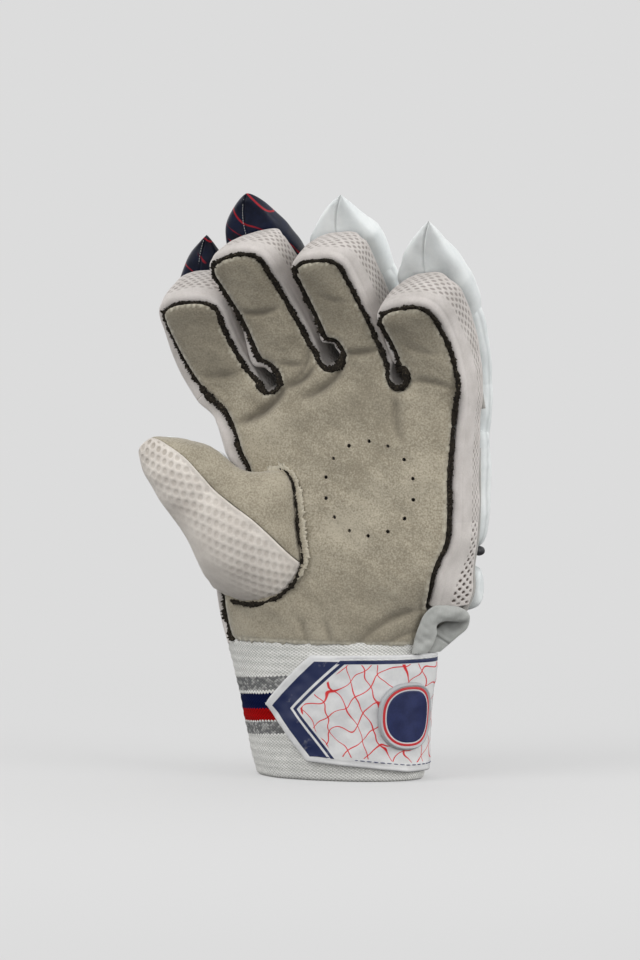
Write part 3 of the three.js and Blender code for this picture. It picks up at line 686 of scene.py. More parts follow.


# %% [markdown]
# ### Suede, mesh and leather finishes
#
# Brushed suede scatters light, so it is nearly matt with a little sheen, and its tone changes where hands
# have pressed the nap. Marks kept at its points paint shade into the folds, the seams and the parts that
# face down, and pale the raw edges. The mesh is a soft white cloth with holes, with painted shade in its
# holes and deep gaps, and the leathers are smooth with fine grain and painted shade in their seams.

# %% The finishes
SUEDE_PALE = rgb(192, 183, 163)
SUEDE_DARK = rgb(150, 141, 122)
SUEDE_SMUDGE_AND_SHADE = rgb(120, 113, 98)
# The smudge colour serves both real smudges and painted shade. The crease and line marks are painted shade:
# in the folds, along the seams and on the parts that face down. Pale is the raw edges' own colour.
SUEDE_MARKS = (
    ("painted_shade", 0.75, SUEDE_SMUDGE_AND_SHADE),
    ("pale", 1.0, rgb(214, 208, 190)),
    ("line", 0.75, rgb(92, 85, 74)),
)


def make_suede():
    material, tree, shader = finish_shader("suede", 0.95, Sheen_Weight=0.25, Sheen_Roughness=0.6)
    shader.inputs["Specular IOR Level"].default_value = 0.15
    place = place_of(tree)
    tone = use(tree, mottle, place, Patch_mm=22.0, Speck_mm=0.9, Speck_share=0.58)["Tone"]
    colour = tint(tree, between(tree, tone, 0.35, 0.65), SUEDE_DARK, SUEDE_PALE)
    worn = noise(tree, place, 30.0, 5.0)
    smudge = between(tree, worn["Fac"], 0.55, 0.8, 0.0, 0.4)
    colour = tint(tree, smudge, colour, SUEDE_SMUDGE_AND_SHADE)
    for name, strength, shown in SUEDE_MARKS:
        share = times(tree, mark_of(tree, name), strength, clamp=True)
        colour = tint(tree, share, colour, shown)
    tree.links.new(colour, shader.inputs["Base Color"])
    nap = noise(tree, place, 1500.0, 3.0)
    clump = noise(tree, place, 420.0, 2.0)
    height = maths(tree, "ADD", nap["Fac"], times(tree, clump["Fac"], 1.5))
    bump(tree, shader, height, 0.6, 0.35)
    return material


def make_binding():
    material, tree, shader = finish_shader("binding", 0.9)
    shader.inputs["Specular IOR Level"].default_value = 0.2
    tone = use(tree, mottle, place_of(tree), Patch_mm=3.0, Speck_mm=0.6, Speck_share=0.5)["Tone"]
    colour = tint(tree, between(tree, tone, 0.35, 0.7), rgb(20, 17, 14), rgb(50, 44, 36))
    fibre = noise(tree, place_of(tree), 1300.0, 2.0)
    colour = tint(tree, between(tree, fibre["Fac"], 0.6, 0.72, 0.0, 0.5), colour, rgb(128, 118, 100))
    tree.links.new(colour, shader.inputs["Base Color"])
    bump(tree, shader, maths(tree, "ADD", tone, fibre["Fac"]), 0.8, 0.6)
    return material


FINGER_LATTICE = (4.2, 3.6, 0.7, 0.55)
SIDE_LATTICE = (4.4, 6.2, 1.4, 1.55)
THUMB_LATTICE = (7.4, 4.5, 1.55, 1.0)


def make_mesh_cloth(name, lattice, pale, dark, inside, thread_mm):
    """Air mesh. The point mark open says how open the holes are, and shade how dark a deep gap is."""
    pitch_u, pitch_v, hole, squash = lattice
    material, tree, shader = finish_shader(name, 0.88, Sheen_Weight=0.15)
    shader.inputs["Specular IOR Level"].default_value = 0.25
    place, uv = place_of(tree), uv_of(tree)
    tone = use(tree, mottle, place, Patch_mm=10.0, Speck_mm=0.7, Speck_share=0.35)["Tone"]
    colour = tint(tree, between(tree, tone, 0.3, 0.7), dark, pale)
    lattice_sizes = dict(Pitch_U_mm=pitch_u, Pitch_V_mm=pitch_v, Hole_mm=hole, Squash=squash)
    holes = use(tree, hole_lattice, uv, **lattice_sizes)["Hole"]
    open_share = times(tree, holes, mark_of(tree, "open"))
    # The colour in the holes is the layer behind them darkened as painted shade, and the shade mark adds
    # painted shade where a gap is deep.
    colour = tint(tree, open_share, colour, inside)
    colour = tint(tree, mark_of(tree, "shade"), colour, rgb(84, 80, 76))
    tree.links.new(colour, shader.inputs["Base Color"])
    split = axes(tree, uv)
    threads = []
    for axis in ("X", "Y"):
        wave = maths(tree, "SINE", times(tree, split[axis], 2000 * np.pi / thread_mm))
        threads.append(times(tree, wave, 0.5))
    thread = times(tree, threads[0], threads[1])
    bump(tree, shader, maths(tree, "SUBTRACT", thread, open_share), 0.5, 0.3)
    return material


def make_leather(name, pale, dark, roughness, cell, depth):
    material, tree, shader = finish_shader(name, roughness, Coat_Weight=0.08, Coat_Roughness=0.3)
    place = place_of(tree)
    grain = use(tree, leather_grain, place, Cell_mm=cell, Wrinkle_mm=11.0)
    tone = use(tree, mottle, place, Patch_mm=20.0, Speck_mm=2.0, Speck_share=0.25)["Tone"]
    colour = tint(tree, between(tree, tone, 0.3, 0.7), dark, pale)
    # The crease mark is painted shade in seam grooves; it mixes in a darker tone of the leather.
    painted_shade = times(tree, mark_of(tree, "painted_shade"), 0.7, clamp=True)
    colour = tint(tree, painted_shade, colour, tuple(0.55 * c for c in dark[:3]) + (1.0,))
    tree.links.new(colour, shader.inputs["Base Color"])
    rough = between(tree, tone, 0.3, 0.7, roughness - 0.07, roughness + 0.08)
    tree.links.new(rough, shader.inputs["Roughness"])
    bump(tree, shader, grain["Height"], 0.5, depth)
    return material


def make_thread(name, colour):
    material, _, shader = finish_shader(name, 0.6)
    shader.inputs["Base Color"].default_value = colour
    return material


suede = make_suede()
binding = make_binding()
finger_mesh = make_mesh_cloth(
    "finger_mesh", FINGER_LATTICE, rgb(215, 209, 205), rgb(196, 190, 185), rgb(152, 145, 140), 0.9)
side_mesh = make_mesh_cloth(
    "side_mesh", SIDE_LATTICE, rgb(220, 214, 209), rgb(201, 195, 190), rgb(88, 78, 72), 0.9)
thumb_mesh_cloth = make_mesh_cloth(
    "thumb_mesh_cloth", THUMB_LATTICE, rgb(240, 233, 224), rgb(222, 214, 205), rgb(176, 167, 155), 0.8)
white_leather = make_leather("white_leather", rgb(237, 240, 239), rgb(223, 228, 228), 0.45, 0.8, 0.2)
tape_leather = make_leather("tape_leather", rgb(188, 190, 186), rgb(170, 171, 167), 0.5, 0.8, 0.3)
thread = make_thread("white_thread", rgb(226, 228, 226))
print("materials so far:", len(bpy.data.materials))

# %% [markdown]
# ## The palm leather
#
# The palm is one cut of suede with four finger fronts. A grid over the whole glove is cut to the outline's
# shape, so that the nap and creases run over it evenly, and its edge is pulled onto the seam line. A few
# cells are split finely and opened for the ring of air holes. Only then is the sheet lifted onto the hand.

# %% Where a point lies on the fingers
PALM_CELL = 1.05
UNDER_BINDING = 0.7
TAPED_INSET = 0.4
PALM_BOTTOM = 68.4


def crotch_share(x, z, near=7.0, far=13.0):
    """1 close to the low point of a gap between two fingers, 0 away from it."""
    away = np.min([np.hypot(x - crotch["lowX"], z - crotch["lowZ"]) for crotch in CROTCHES], axis=0)
    return 1 - ramp(away, near, far)


def seam_inset(x, z, out_x):
    """How far inside the outline the middle of the dark binding runs."""
    low_right = np.maximum(0, out_x) * (1 - ramp(z, 184, 202)) * ramp(z, 88, 112)
    return 2.1 - 0.7 * out_x + 1.6 * low_right - 0.7 * crotch_share(x, z)


def finger_place(finger, x, z):
    """How far along a finger a flat point is, how far to its side and past its end, and its height there."""
    t = np.linspace(-0.5, 1, 151)
    origin = finger_frame(finger, t)[0]
    far = (x[:, None] - origin[None, :, 0]) ** 2 + (z[:, None] - origin[None, :, 2]) ** 2
    along = t[far.argmin(axis=1)]
    origin, forward, across, _ = finger_frame(finger, along)
    dx, dz = x - origin[:, 0], z - origin[:, 2]
    flat = forward[:, [0, 2]]
    ahead = (dx * flat[:, 0] + dz * flat[:, 1]) / (flat**2).sum(axis=1)
    beyond = np.where(along >= 1, np.maximum(0, ahead), 0)
    dx, dz = dx - forward[:, 0] * beyond, dz - forward[:, 2] * beyond
    side = (dx * across[:, 0] + dz * across[:, 2]) / (across[:, [0, 2]] ** 2).sum(axis=1)
    return along, side, beyond, origin[:, 1] + across[:, 1] * side + forward[:, 1] * beyond


def palm_lift(x, z):
    """The palm side's height over the flat pattern, with each finger front's own curl and crown."""
    y = palm_y(x, z)
    for finger in FINGERS:
        along, side, beyond, curled = finger_place(finger, x, z)
        half = half_of(finger, along)
        here = ramp(along, -0.12, 0.3) * (1 - ramp(np.abs(side), half + 1, half + 5))
        cap = np.sqrt(np.maximum(0, 1 - (beyond / finger["frontRise"]) ** 2))
        crown = np.maximum(0, 1 - (side / half) ** 2) * ramp(along, -0.2, 0.4) * cap
        y = lerp(y, curled - FINGER_BULGE * crown, here)
    return y


# %% The flat pattern's edge
def palm_outline():
    low_left, low_right = column(HAND, "left", HAND_LOW), column(HAND, "right", HAND_LOW)
    edge = edge_front[::2][:, [0, 2]]
    return np.vstack([edge, [[low_right, HAND_LOW], [low_right, -90], [low_left, -90]]])


def inside_by(points, outline):
    """Distance inside a closed outline, negative outside, and the nearest point on the outline."""
    start, run = outline, np.roll(outline, -1, axis=0) - outline
    long2 = np.maximum((run**2).sum(axis=1), 1e-9)
    best, nearest = np.full(len(points), np.inf), np.zeros_like(points)
    inside = np.zeros(len(points), bool)
    for a, r, l2 in zip(start, run, long2):
        share = np.clip(((points - a) @ r) / l2, 0, 1)
        foot = a + share[:, None] * r
        far = np.linalg.norm(points - foot, axis=1)
        closer = far < best
        best[closer], nearest[closer] = far[closer], foot[closer]
        crosses = (a[1] > points[:, 1]) != (a[1] + r[1] > points[:, 1])
        at = a[0] + (points[:, 1] - a[1]) / (r[1] if abs(r[1]) > 1e-9 else 1e-9) * r[0]
        inside ^= crosses & (points[:, 0] < at)
    return np.where(inside, best, -best), nearest


AIR_RING = dict(x=24, z=146.5, radius=23.5, count=14, hole=0.95, near=2.2)


def air_holes():
    angle = 2 * np.pi * np.arange(AIR_RING["count"]) / AIR_RING["count"] - np.pi / 2
    x = AIR_RING["x"] + AIR_RING["radius"] * np.cos(angle)
    return np.stack([x, AIR_RING["z"] + AIR_RING["radius"] * np.sin(angle)], axis=1)


# %% Folds of the suede
FOLDS = table(
    "fromX fromZ toX toZ bow deep wide shade",
    (-20, 198, -48, 178, 3.6, 1.7, 2.6, 1.2),
    (-22, 196.5, -5.5, 206.5, -2.2, 1.3, 2.0, 1.1),
    (12, 212, -12, 191.5, 4.3, 1.4, 2.6, 1.0),
    (11, 213.4, 29, 215.6, -0.6, 1.2, 1.8, 1.0),
    (-24, 208.5, -11, 208, -0.6, 0.8, 1.6, 0.7),
    (38, 195, 42, 168, -2.0, 1.2, 3.4, 0.45),
    (45, 200, 67, 196, 1.5, 0.9, 1.7, 0.5),
    (-42, 234, -21, 236.3, -2.0, 1.1, 1.7, 0.9),
    (-68, 202, -44, 205, -2.0, 0.7, 2.4, 0.35),
    (-8, 217, -18, 199, 3.0, 0.8, 1.8, 0.5),
    (2, 244, 18, 240, -2.0, 0.5, 1.8, 0.25),
    (44, 219, 62, 214, -2.0, 0.5, 1.8, 0.25),
    (18, 68, 50, 87, 3.5, 1.3, 2.0, 0.55),
    (30, 67, 47, 76, 1.5, 0.7, 1.6, 0.35),
    (-12, 81, -7, 68, 0.6, 0.8, 2.0, 0.3),
    (1, 81, 6, 68, 0.6, 0.7, 2.0, 0.3),
    (-34, 172, 6, 186, 3.0, -0.9, 6.0, 0.0),
    (-52, 90, -20, 82, 3.0, -0.8, 7.0, 0.0),
)


def fold_relief(x, z, folds):
    """Depth, painted shade and a sharp line of painted shade for a set of folds, each a bowed line that fades
    at its ends.
    """
    deep, shade, sharp = np.zeros_like(x), np.zeros_like(x), np.zeros_like(x)
    t = np.linspace(0, 1, 25)
    for fold in folds:
        run = np.array([fold["toX"] - fold["fromX"], fold["toZ"] - fold["fromZ"]])
        across = np.array([-run[1], run[0]]) / np.linalg.norm(run)
        line = np.array([fold["fromX"], fold["fromZ"]]) + t[:, None] * run
        line = line + across * (fold["bow"] * 4 * t * (1 - t))[:, None]
        far = np.hypot(x[:, None] - line[None, :, 0], z[:, None] - line[None, :, 1])
        nearest = far.argmin(axis=1)
        fade = np.sqrt(np.maximum(0, np.sin(np.pi * np.clip(t[nearest], 0.02, 0.98))))
        near = far.min(axis=1) / fold["wide"]
        deep += fold["deep"] * np.exp(-(near**2)) * fade
        shade = np.maximum(shade, 0.9 * fold["shade"] * np.exp(-(near**2)) * fade)
        sharp = np.maximum(sharp, fold["shade"] * np.exp(-((2.6 * near) ** 2)) * fade)
    return deep, shade, sharp


# %% The palm sheet
def open_air_holes(bm):
    """Splits the cells round each air hole, opens it and rounds its rim. The sheet is still flat."""
    centres = air_holes()
    for _ in range(2):
        near = []
        for edge in bm.edges:
            middle = np.array(((edge.verts[0].co + edge.verts[1].co) / 2)[:2])
            if np.linalg.norm(middle - centres, axis=1).min() < AIR_RING["near"]:
                near.append(edge)
        bmesh.ops.subdivide_edges(bm, edges=near, cuts=1, use_grid_fill=True)
    for centre in centres:
        middle = Vector((*centre, 0))
        inner = [f for f in bm.faces if (f.calc_center_median() - middle).length < AIR_RING["hole"]]
        bmesh.ops.delete(bm, geom=inner, context="FACES")
    for vert in bm.verts:
        if vert.is_boundary:
            for centre in centres:
                away = vert.co - Vector((*centre, 0))
                if away.length < AIR_RING["hole"] * 2:
                    vert.co = Vector((*centre, 0)) + away.normalized() * AIR_RING["hole"]


def inset_at(flat, outward):
    """How far inside the outline the suede ends. It is less under the wrist's tape."""
    inset = seam_inset(flat[:, 0], flat[:, 1], outward[:, 0]) + UNDER_BINDING
    return np.where((flat[:, 0] > 30) & (flat[:, 1] < VENT_TOP - 2), TAPED_INSET, inset)


def palm_pattern():
    width, height = 148.0, 204.0
    bm, u, v = grid(int(width / PALM_CELL), int(height / PALM_CELL))
    flat = np.stack([lerp(-86, -86 + width + 14, u), lerp(PALM_BOTTOM, PALM_BOTTOM + height, v)], axis=1)
    outline = palm_outline()
    inside, nearest = inside_by(flat, outline)
    outward = unit(nearest - flat) * tall(np.sign(inside))
    move(bm, np.hstack([flat, np.zeros((len(flat), 1))]))
    kept = dict(zip(bm.verts, inside > inset_at(flat, outward) - 0.35 * PALM_CELL))
    bmesh.ops.delete(bm, geom=[f for f in bm.faces if not all(kept[v] for v in f.verts)], context="FACES")
    loose = [v for v in bm.verts if not v.link_faces]
    bmesh.ops.delete(bm, geom=loose, context="VERTS")
    rim = [v for v in bm.verts if v.is_boundary and v.co.y > PALM_BOTTOM + 0.1]
    for _ in range(3):
        at = np.array([v.co[:2] for v in rim])
        inside, nearest = inside_by(at, outline)
        outward = unit(nearest - at)
        for vert, step, reach in zip(rim, outward, inside - inset_at(at, outward)):
            vert.co += Vector((*(step * reach), 0))
        bmesh.ops.smooth_vert(bm, verts=rim, factor=0.3, use_axis_x=True, use_axis_y=True)
    open_air_holes(bm)
    return bm


def thumb_ring(along, name):
    return column(THUMB, name, np.asarray(along) * (len(THUMB) - 1), key="step")


def inside_thumb(points, extra):
    """True for points that lie inside the thumb's rings, made larger by extra."""
    along = np.linspace(0, 1, 60)
    centre = stack(*(thumb_ring(along, name) for name in "xyz"))
    turn = np.radians(thumb_ring(along, "turn"))
    deep = -THUMB_LINE * tall(np.cos(turn)) - Y * tall(np.sin(turn))
    axis = unit(np.cross(THUMB_ACROSS, deep))
    hit = np.zeros(len(points), bool)
    for c, d, n, wide, thick in zip(centre, deep, axis, thumb_ring(along, "wide"), thumb_ring(along, "deep")):
        away = points - c
        level = np.abs(away @ n) < 1.6
        across, ahead = (away @ THUMB_ACROSS) / (wide + extra), (away @ d) / (thick + extra)
        hit |= level & (across**2 + ahead**2 < 1)
    return hit


def make_palm():
    bm = palm_pattern()
    flat = np.array([v.co[:2] for v in bm.verts])
    x, z = flat[:, 0], flat[:, 1]
    inside, nearest = inside_by(flat, palm_outline())
    y = palm_lift(x, z) - SUEDE
    deep, shade, sharp = fold_relief(x, z, FOLDS)
    points = stack(x, y, z)
    soft = 0.5 * ripple(points, 26, 11) + 0.16 * ripple(points, 9, 12) + 0.05 * ripple(points, 3.4, 13)
    from_seam = inside - inset_at(flat, unit(nearest - flat))
    edge = 1 - ramp(from_seam, 0, 3.5)
    low = 1 - ramp(z, PALM_BOTTOM + 0.4, PALM_BOTTOM + 2.6)
    y = y + 1.7 * deep + soft * ramp(inside, 2, 9) + 0.9 * edge + 1.35 * low
    z = z + 0.5 * low * ripple(points, 3.0, 14)
    points = stack(x, y, z)
    move(bm, points)
    fray = 0.5 + 0.5 * ripple(points, 2.6, 15)
    pale = np.maximum(low * (0.55 + 0.45 * fray), 0.75 * (1 - ramp(from_seam, 0.9, 2.2)) * fray)
    # Painted shade: the suede is darkened low on the palm and on the finger fronts, which face down, along
    # the seam where its edge dips, and in the folds. All of it is kept in the crease mark.
    facing_down_shade = 0.58 * (1 - ramp(z, 78, 122)) + 0.2 * ramp(z, 160, 190) + 0.24 * ramp(z, 198, 214)
    facing_down_shade = facing_down_shade + 0.24 * ramp(z, 186, 206) * (1 - ramp(x, -50, -40))
    shade = np.clip(1.2 * shade + 0.5 * edge + facing_down_shade, 0, 1)
    paint(bm, "painted_shade", shade * (1 - 0.8 * np.clip(pale, 0, 1)))
    paint(bm, "line", sharp)
    paint(bm, "pale", np.clip(pale, 0, 1))
    covered = inside_thumb(points, -4.0)
    doomed = [v for v, c in zip(bm.verts, covered) if c]
    bmesh.ops.delete(bm, geom=doomed, context="VERTS")
    face_outwards(bm, -Y)
    return finish(bm, "palm_leather", suede, ["palm_panel"], thick=SUEDE)


palm = make_palm()

# %% [markdown]
# ## The dark binding
#
# The palm's raw edge is closed by a dark strip that was cut, not hemmed, so its edge is uneven and frayed.
# It is a flat tube along the outline. Its width, height and place wander with rows of uneven numbers, slow
# and quick ones, which gives torn edges that a smooth bevel can't.

# %% A frayed strip along a line
BINDING_STEP = 0.45
BINDING_HALF = 1.05
BINDING_HIGH = 0.85
BINDING_LIFT = 0.7
STRIP_AROUND = 12
STRIP_TAPER = 1.2


def frayed_strip(line, out, up, seed, broad=1.0, tall_by=1.0):
    """A flat tube round a line. out points across it and up away from the leather."""
    count = len(line)
    wide = BINDING_HALF * broad * (1 + 0.17 * ragged(count, 3, seed) + 0.18 * ragged(count, 0, seed + 1))
    high = BINDING_HIGH * tall_by * (1 + 0.18 * ragged(count, 2, seed + 2) + 0.1 * ragged(count, 0, seed + 3))
    wander = 0.18 * ragged(count, 6, seed + 4)
    ends = np.minimum(np.arange(count), np.arange(count)[::-1]) * BINDING_STEP
    full = np.sqrt(np.clip(ends / STRIP_TAPER, 0.0, 1))
    bm, u, v = grid(count - 1, STRIP_AROUND)
    row = np.rint(u * (count - 1)).astype(int)
    angle = 2 * np.pi * v
    around = np.rint(v * STRIP_AROUND).astype(int) % STRIP_AROUND
    tufts = np.random.default_rng(seed + 5).normal(size=(count, STRIP_AROUND + 1))
    tuft = 1 + 0.12 * tufts[row, around]
    side = wander[row] + wide[row] * full[row] * tuft * blunt(np.cos(angle), 0.8)
    lift = high[row] * full[row] * tuft * blunt(np.sin(angle), 0.8)
    move(bm, line[row] + out[row] * tall(side) + up[row] * tall(lift))
    paint(bm, "outer", np.cos(angle))
    bmesh.ops.remove_doubles(bm, verts=bm.verts, dist=0.01)
    bmesh.ops.recalc_face_normals(bm, faces=bm.faces)
    return bm


SHOWN = unit(np.array([0.37, -0.93, 0.0]))
SIDEWAYS = (0.2, 0.7)
FINGERS_FROM = (188, 208)
PALM_SIDE_MORE = (0.32, 0.4)
FINGER_SIDE_MORE = (0.42, 0.6)
GAP_MORE = 0.34


def edge_strip(start, end, lift, seed):
    """The binding along the outline. It is broad on the palm's sides, where it also turns to the front."""
    at = np.arange(start, end, BINDING_STEP)
    out, up = unit(on_edge(at, edge_out)), -unit(on_edge(at, edge_back))
    front = on_edge(at, edge_front)
    x, z = front[:, 0], front[:, 2]
    low = 1 - ramp(z, *FINGERS_FROM)
    left = low * ramp(-out[:, 0], *SIDEWAYS)
    line = front - out * tall(seam_inset(x, z, out[:, 0])) + up * lift - Y * tall(0.6 * left)
    line[:, 1] += low * (palm_y(line[:, 0], z) - palm_y(x, z))
    up = unit(up + SHOWN * tall(1.2 * left))
    out = unit(out - up * tall((out * up).sum(axis=1)))
    gap = crotch_share(x, z, 9, 15)
    to_left = ramp(-out[:, 0], *SIDEWAYS)
    line = line - out * tall(0.9 * to_left * (1 - ramp(x, -62, -50)) * (1 - low))
    palm_side = (PALM_SIDE_MORE[0] + PALM_SIDE_MORE[1] * to_left) * low * (1 - gap)
    finger_side = (FINGER_SIDE_MORE[0] + FINGER_SIDE_MORE[1] * to_left) * (1 - low)
    finger_side = finger_side * ramp(np.abs(out[:, 0]), 0.3, 0.8)
    broad = 1 + palm_side + np.maximum(finger_side, GAP_MORE * gap)
    taper = 1 - 0.75 * ramp(x, 40, 50) * (1 - ramp(z, 87, 108))
    return frayed_strip(line, out, up, seed, broad * taper, taper)


LEFT_HEIGHTS = edge_front[: int(MARKS[1] / EDGE_STEP), 2]


def left_edge_at(height):
    """How far along the outline the thumb's side reaches a height."""
    return float(np.interp(height, LEFT_HEIGHTS, edge_at[: len(LEFT_HEIGHTS)]))


ABOVE_THUMB = 146
BELOW_THUMB = 106


def make_binding_strip(start, end, seed, node):
    strip = edge_strip(start, end, BINDING_LIFT, seed)
    return finish(strip, node + "_strip", binding, [node])


edge_binding = make_binding_strip(left_edge_at(ABOVE_THUMB), EDGE_LONG - 2, 21, "edge_binding")
wrist_binding = make_binding_strip(0.0, left_edge_at(BELOW_THUMB), 31, "wrist_binding")

# %% [markdown]
# ## The mesh walls
#
# The sides of the fingers are strips of knitted air mesh. Each is a grid between the front and the rear of
# the outline. Its front edge rolls over into a round white rim beside the binding, and the lattice of holes
# is pressed into the mesh itself, so the holes shade as real ones do; their insides are darkened with
# painted shade as well. Deep in the gaps between the fingers the walls get painted shade.

# %% Walls
WALL_CELL = 0.62
RIM = 2.4
RIM_OUT = 0.9
LEFT_OUT = 1.3
LOW_LEFT_OUT = 2.6
RIM_SHARE = 0.13
WALL_BULGE = 1.2
TIP_MORE = 3.0
WALL_WIDE = 28
HOLE_DENT = 0.35


def wall_place(at, share):
    """A point on a wall: at along the outline, share from its front rim to its rear edge."""
    front, rear = on_edge(at, edge_front), on_edge(at, edge_rear)
    out, back = unit(on_edge(at, edge_out)), unit(on_edge(at, edge_back))
    long = np.linalg.norm(rear - front, axis=-1) - GAP + TIP_MORE * ramp(out[..., 2], 0.3, 0.8)
    turn = np.clip(share / RIM_SHARE, 0, 1) * np.pi / 2
    further = np.clip((share - RIM_SHARE) / (1 - RIM_SHARE), 0, 1)
    deep = np.where(share < RIM_SHARE, RIM * (1 - np.cos(turn)), lerp(RIM, long, further))
    left = ramp(-out[..., 0], 0.2, 0.8)
    low_left = left * ramp(front[..., 2], 150, 165) * (1 - ramp(front[..., 2], 200, 226))
    at_tip = ramp(front[..., 2], 212, 232)
    gap = crotch_share(front[..., 0], front[..., 2], 6, 14)
    rim_out = (RIM_OUT + LEFT_OUT * left * (1 - 0.85 * at_tip) + LOW_LEFT_OUT * low_left) * (1 - 1.3 * gap)
    bulge = rim_out * (1 - further) + WALL_BULGE * np.sin(np.pi * further)
    bulge = bulge - 0.25 * hump(deep, 4.4, 0.8)
    aside = np.where(share < RIM_SHARE, lerp(-RIM, rim_out, np.sin(turn)), bulge)
    return front + out * tall(aside) + back * tall(deep), out, deep, further


SIDE_FROM = 130.0


def open_on_finger(at, further):
    start = lerp(0.34, 0.16, ramp(on_edge(at, edge_out)[..., 2], 0.2, 0.8))
    return ramp(further, start, start + 0.14) * (1 - ramp(further, 0.9, 0.97)) * 0.85


def open_on_side(at, further, z):
    low = 1 - ramp(z, 114, 122)
    start = lerp(0.36, 0.6, ramp(z, 92, 118))
    wide = ramp(further, start, start + 0.08) * (1 - ramp(further, 0.93, 0.97)) * ramp(z, 87.5, 89)
    narrow = 0.85 * ramp(further, 0.48, 0.58) * (1 - ramp(further, 0.9, 0.96))
    finger = open_on_finger(at, further)
    return lerp(finger, lerp(narrow, wide, low), ramp(at, MARKS[5] - 30, MARKS[5] - 10))


def make_wall(name, nodes, start, end, seed, kind):
    cells_u = int((end - start) / WALL_CELL)
    cells_v = int(WALL_WIDE / WALL_CELL)
    bm, u, v = grid(cells_u, cells_v)
    at = lerp(start, end, u)
    points, out, deep, further = wall_place(at, v)
    opened = open_on_finger(at, further)
    hole = HOLE_DENT * hole_share(at, deep, *FINGER_LATTICE)
    if kind == "side":
        low = (at > MARKS[5]) & (points[:, 2] < SIDE_FROM)
        opened = open_on_side(at, further, points[:, 2])
        hole = np.where(low, 0.8 * hole_share(at, deep, *SIDE_LATTICE), hole)
    soft = 0.25 * ripple(points, 14, seed) * np.minimum(1, further * 4)
    move(bm, points + out * tall(soft - hole * opened))
    lay_uv(bm, at, deep)
    paint(bm, "open", opened)
    # Painted shade deep in the gaps between the fingers, stronger on the walls that face left.
    between_fingers = np.max([1 - ramp(np.abs(at - mark), 9, 30) for mark in MARKS[2:5]], axis=0)
    turned_left = ramp(-out[:, 0], -0.1, 0.5)
    shade = 0.42 * ramp(deep, 1.2, 4) + 0.3 * ramp(deep, 7, 18)
    shade = np.maximum(shade, 0.55 * turned_left * ramp(deep, 0.5, 1.6))
    paint(bm, "shade", between_fingers * shade)
    face_outwards(bm, out)
    if kind == "side":
        for face in bm.faces:
            face.material_index = int(all(low[vert.index] for vert in face.verts))
    if kind == "thumb":
        inside = inside_thumb(points, -3.0)
        bmesh.ops.delete(bm, geom=[q for q, c in zip(bm.verts, inside) if c], context="VERTS")
    return finish(bm, name, [finger_mesh, side_mesh], nodes, thick=MESH)


WALLS = (
    ("thumb_side_wall", ["thumb_side_mesh"], 0, 1, "thumb"),
    ("index_finger_wall", ["index_gusset"], 1, 2, "finger"),
    ("middle_finger_wall", ["middle_gusset"], 2, 3, "finger"),
    ("ring_finger_wall", ["ring_gusset"], 3, 4, "finger"),
    ("little_side_wall", ["little_gusset", "little_side_mesh"], 4, 6, "side"),
)
for n, (name, nodes, first, last, kind) in enumerate(WALLS):
    wall = make_wall(name, nodes, MARKS[first], MARKS[last], 50 + n, kind)

# %% [markdown]
# ## The thumb
#
# The thumb is a stall of its own, sewn into the palm. Suede covers the side that grips, air mesh the side
# that faces the bowler, and leather its back. All three are cuts of one set of rings, so their edges meet
# exactly, and the mesh's honeycomb is pressed into its surface.

# %% Rings of the thumb
TIP_CLOSE = 0.97


def thumb_point(along, turn, out):
    """A point on the thumb. along is 0 at the palm and 1 at the tip. A turn of 90 degrees is in front."""
    along = np.broadcast_arrays(along, turn)[0]
    bend = np.radians(thumb_ring(along, "turn"))
    deep = -THUMB_LINE * tall(np.cos(bend)) - Y * tall(np.sin(bend))
    centre = stack(*(thumb_ring(along, name) for name in "xyz"))
    close = np.sqrt(np.clip((1 - along) / (1 - TIP_CLOSE), 0, 1)) ** 0.9
    close = np.where(along > TIP_CLOSE, close, 1)
    angle = np.radians(turn)
    turned = (np.asarray(turn, float) + 180) % 360 - 180
    wider = lerp(column(THUMB_BASE, "share", turned, key="turn"), 1, ramp(-turned, 30, 80))
    wider = lerp(wider, 1, ramp(along, 0.16, 0.5))
    cos, sin = np.cos(angle) * wider, np.sin(angle) * wider
    across = THUMB_ACROSS * tall((thumb_ring(along, "wide") * close + out) * cos)
    return centre + across + deep * tall((thumb_ring(along, "deep") * close + out) * sin)


thumb_along = np.linspace(0, 1, 200)
thumb_path = chord_of(thumb_point(thumb_along, np.full(200, 90.0), 0.0))
SEAMS = table(
    "along front rear",
    (0.0, 70.4, 305),
    (0.3, 66.9, 305),
    (0.6, 56.5, 305),
    (0.85, 34.6, 305),
    (1.0, 29.2, 305),
)
BACK_SEAM = 215.0


def front_seam(along):
    return column(SEAMS, "front", along, key="along")


def thumb_sheet(name, node, material, cells, low, high, relief, thick):
    """One cut of the thumb between two seam angles. relief gives height, marks and the lattice's own UV."""
    bm, u, v = grid(*cells)
    start, end = low(u), high(u)
    turn = lerp(start, end, v)
    points = thumb_point(u, turn, 0.0)
    outward = unit(points - thumb_point(u, turn + 180, 0.0))
    along_mm = np.interp(u, thumb_along, thumb_path)
    round_mm = np.radians(turn - 150) * (thumb_ring(u, "wide") + thumb_ring(u, "deep")) / 2
    rise, marks_ = relief(u, turn, along_mm, round_mm, points, np.minimum(turn - start, end - turn))
    move(bm, points + outward * tall(rise))
    lay_uv(bm, along_mm, round_mm)
    for key, values in marks_.items():
        paint(bm, key, values)
    bmesh.ops.remove_doubles(bm, verts=bm.verts, dist=0.02)
    bm.normal_update()
    middle = Vector(sum(thumb_point(np.array([0.3]), np.array([side]), 0)[0] / 2 for side in (0.0, 180.0)))
    level = [f for f in bm.faces if abs(f.calc_center_median().z - middle.z) < 12]
    if sum(f.normal.dot(f.calc_center_median() - middle) for f in level) < 0:
        bmesh.ops.reverse_faces(bm, faces=bm.faces)
    return finish(bm, name, material, [node], thick=thick)


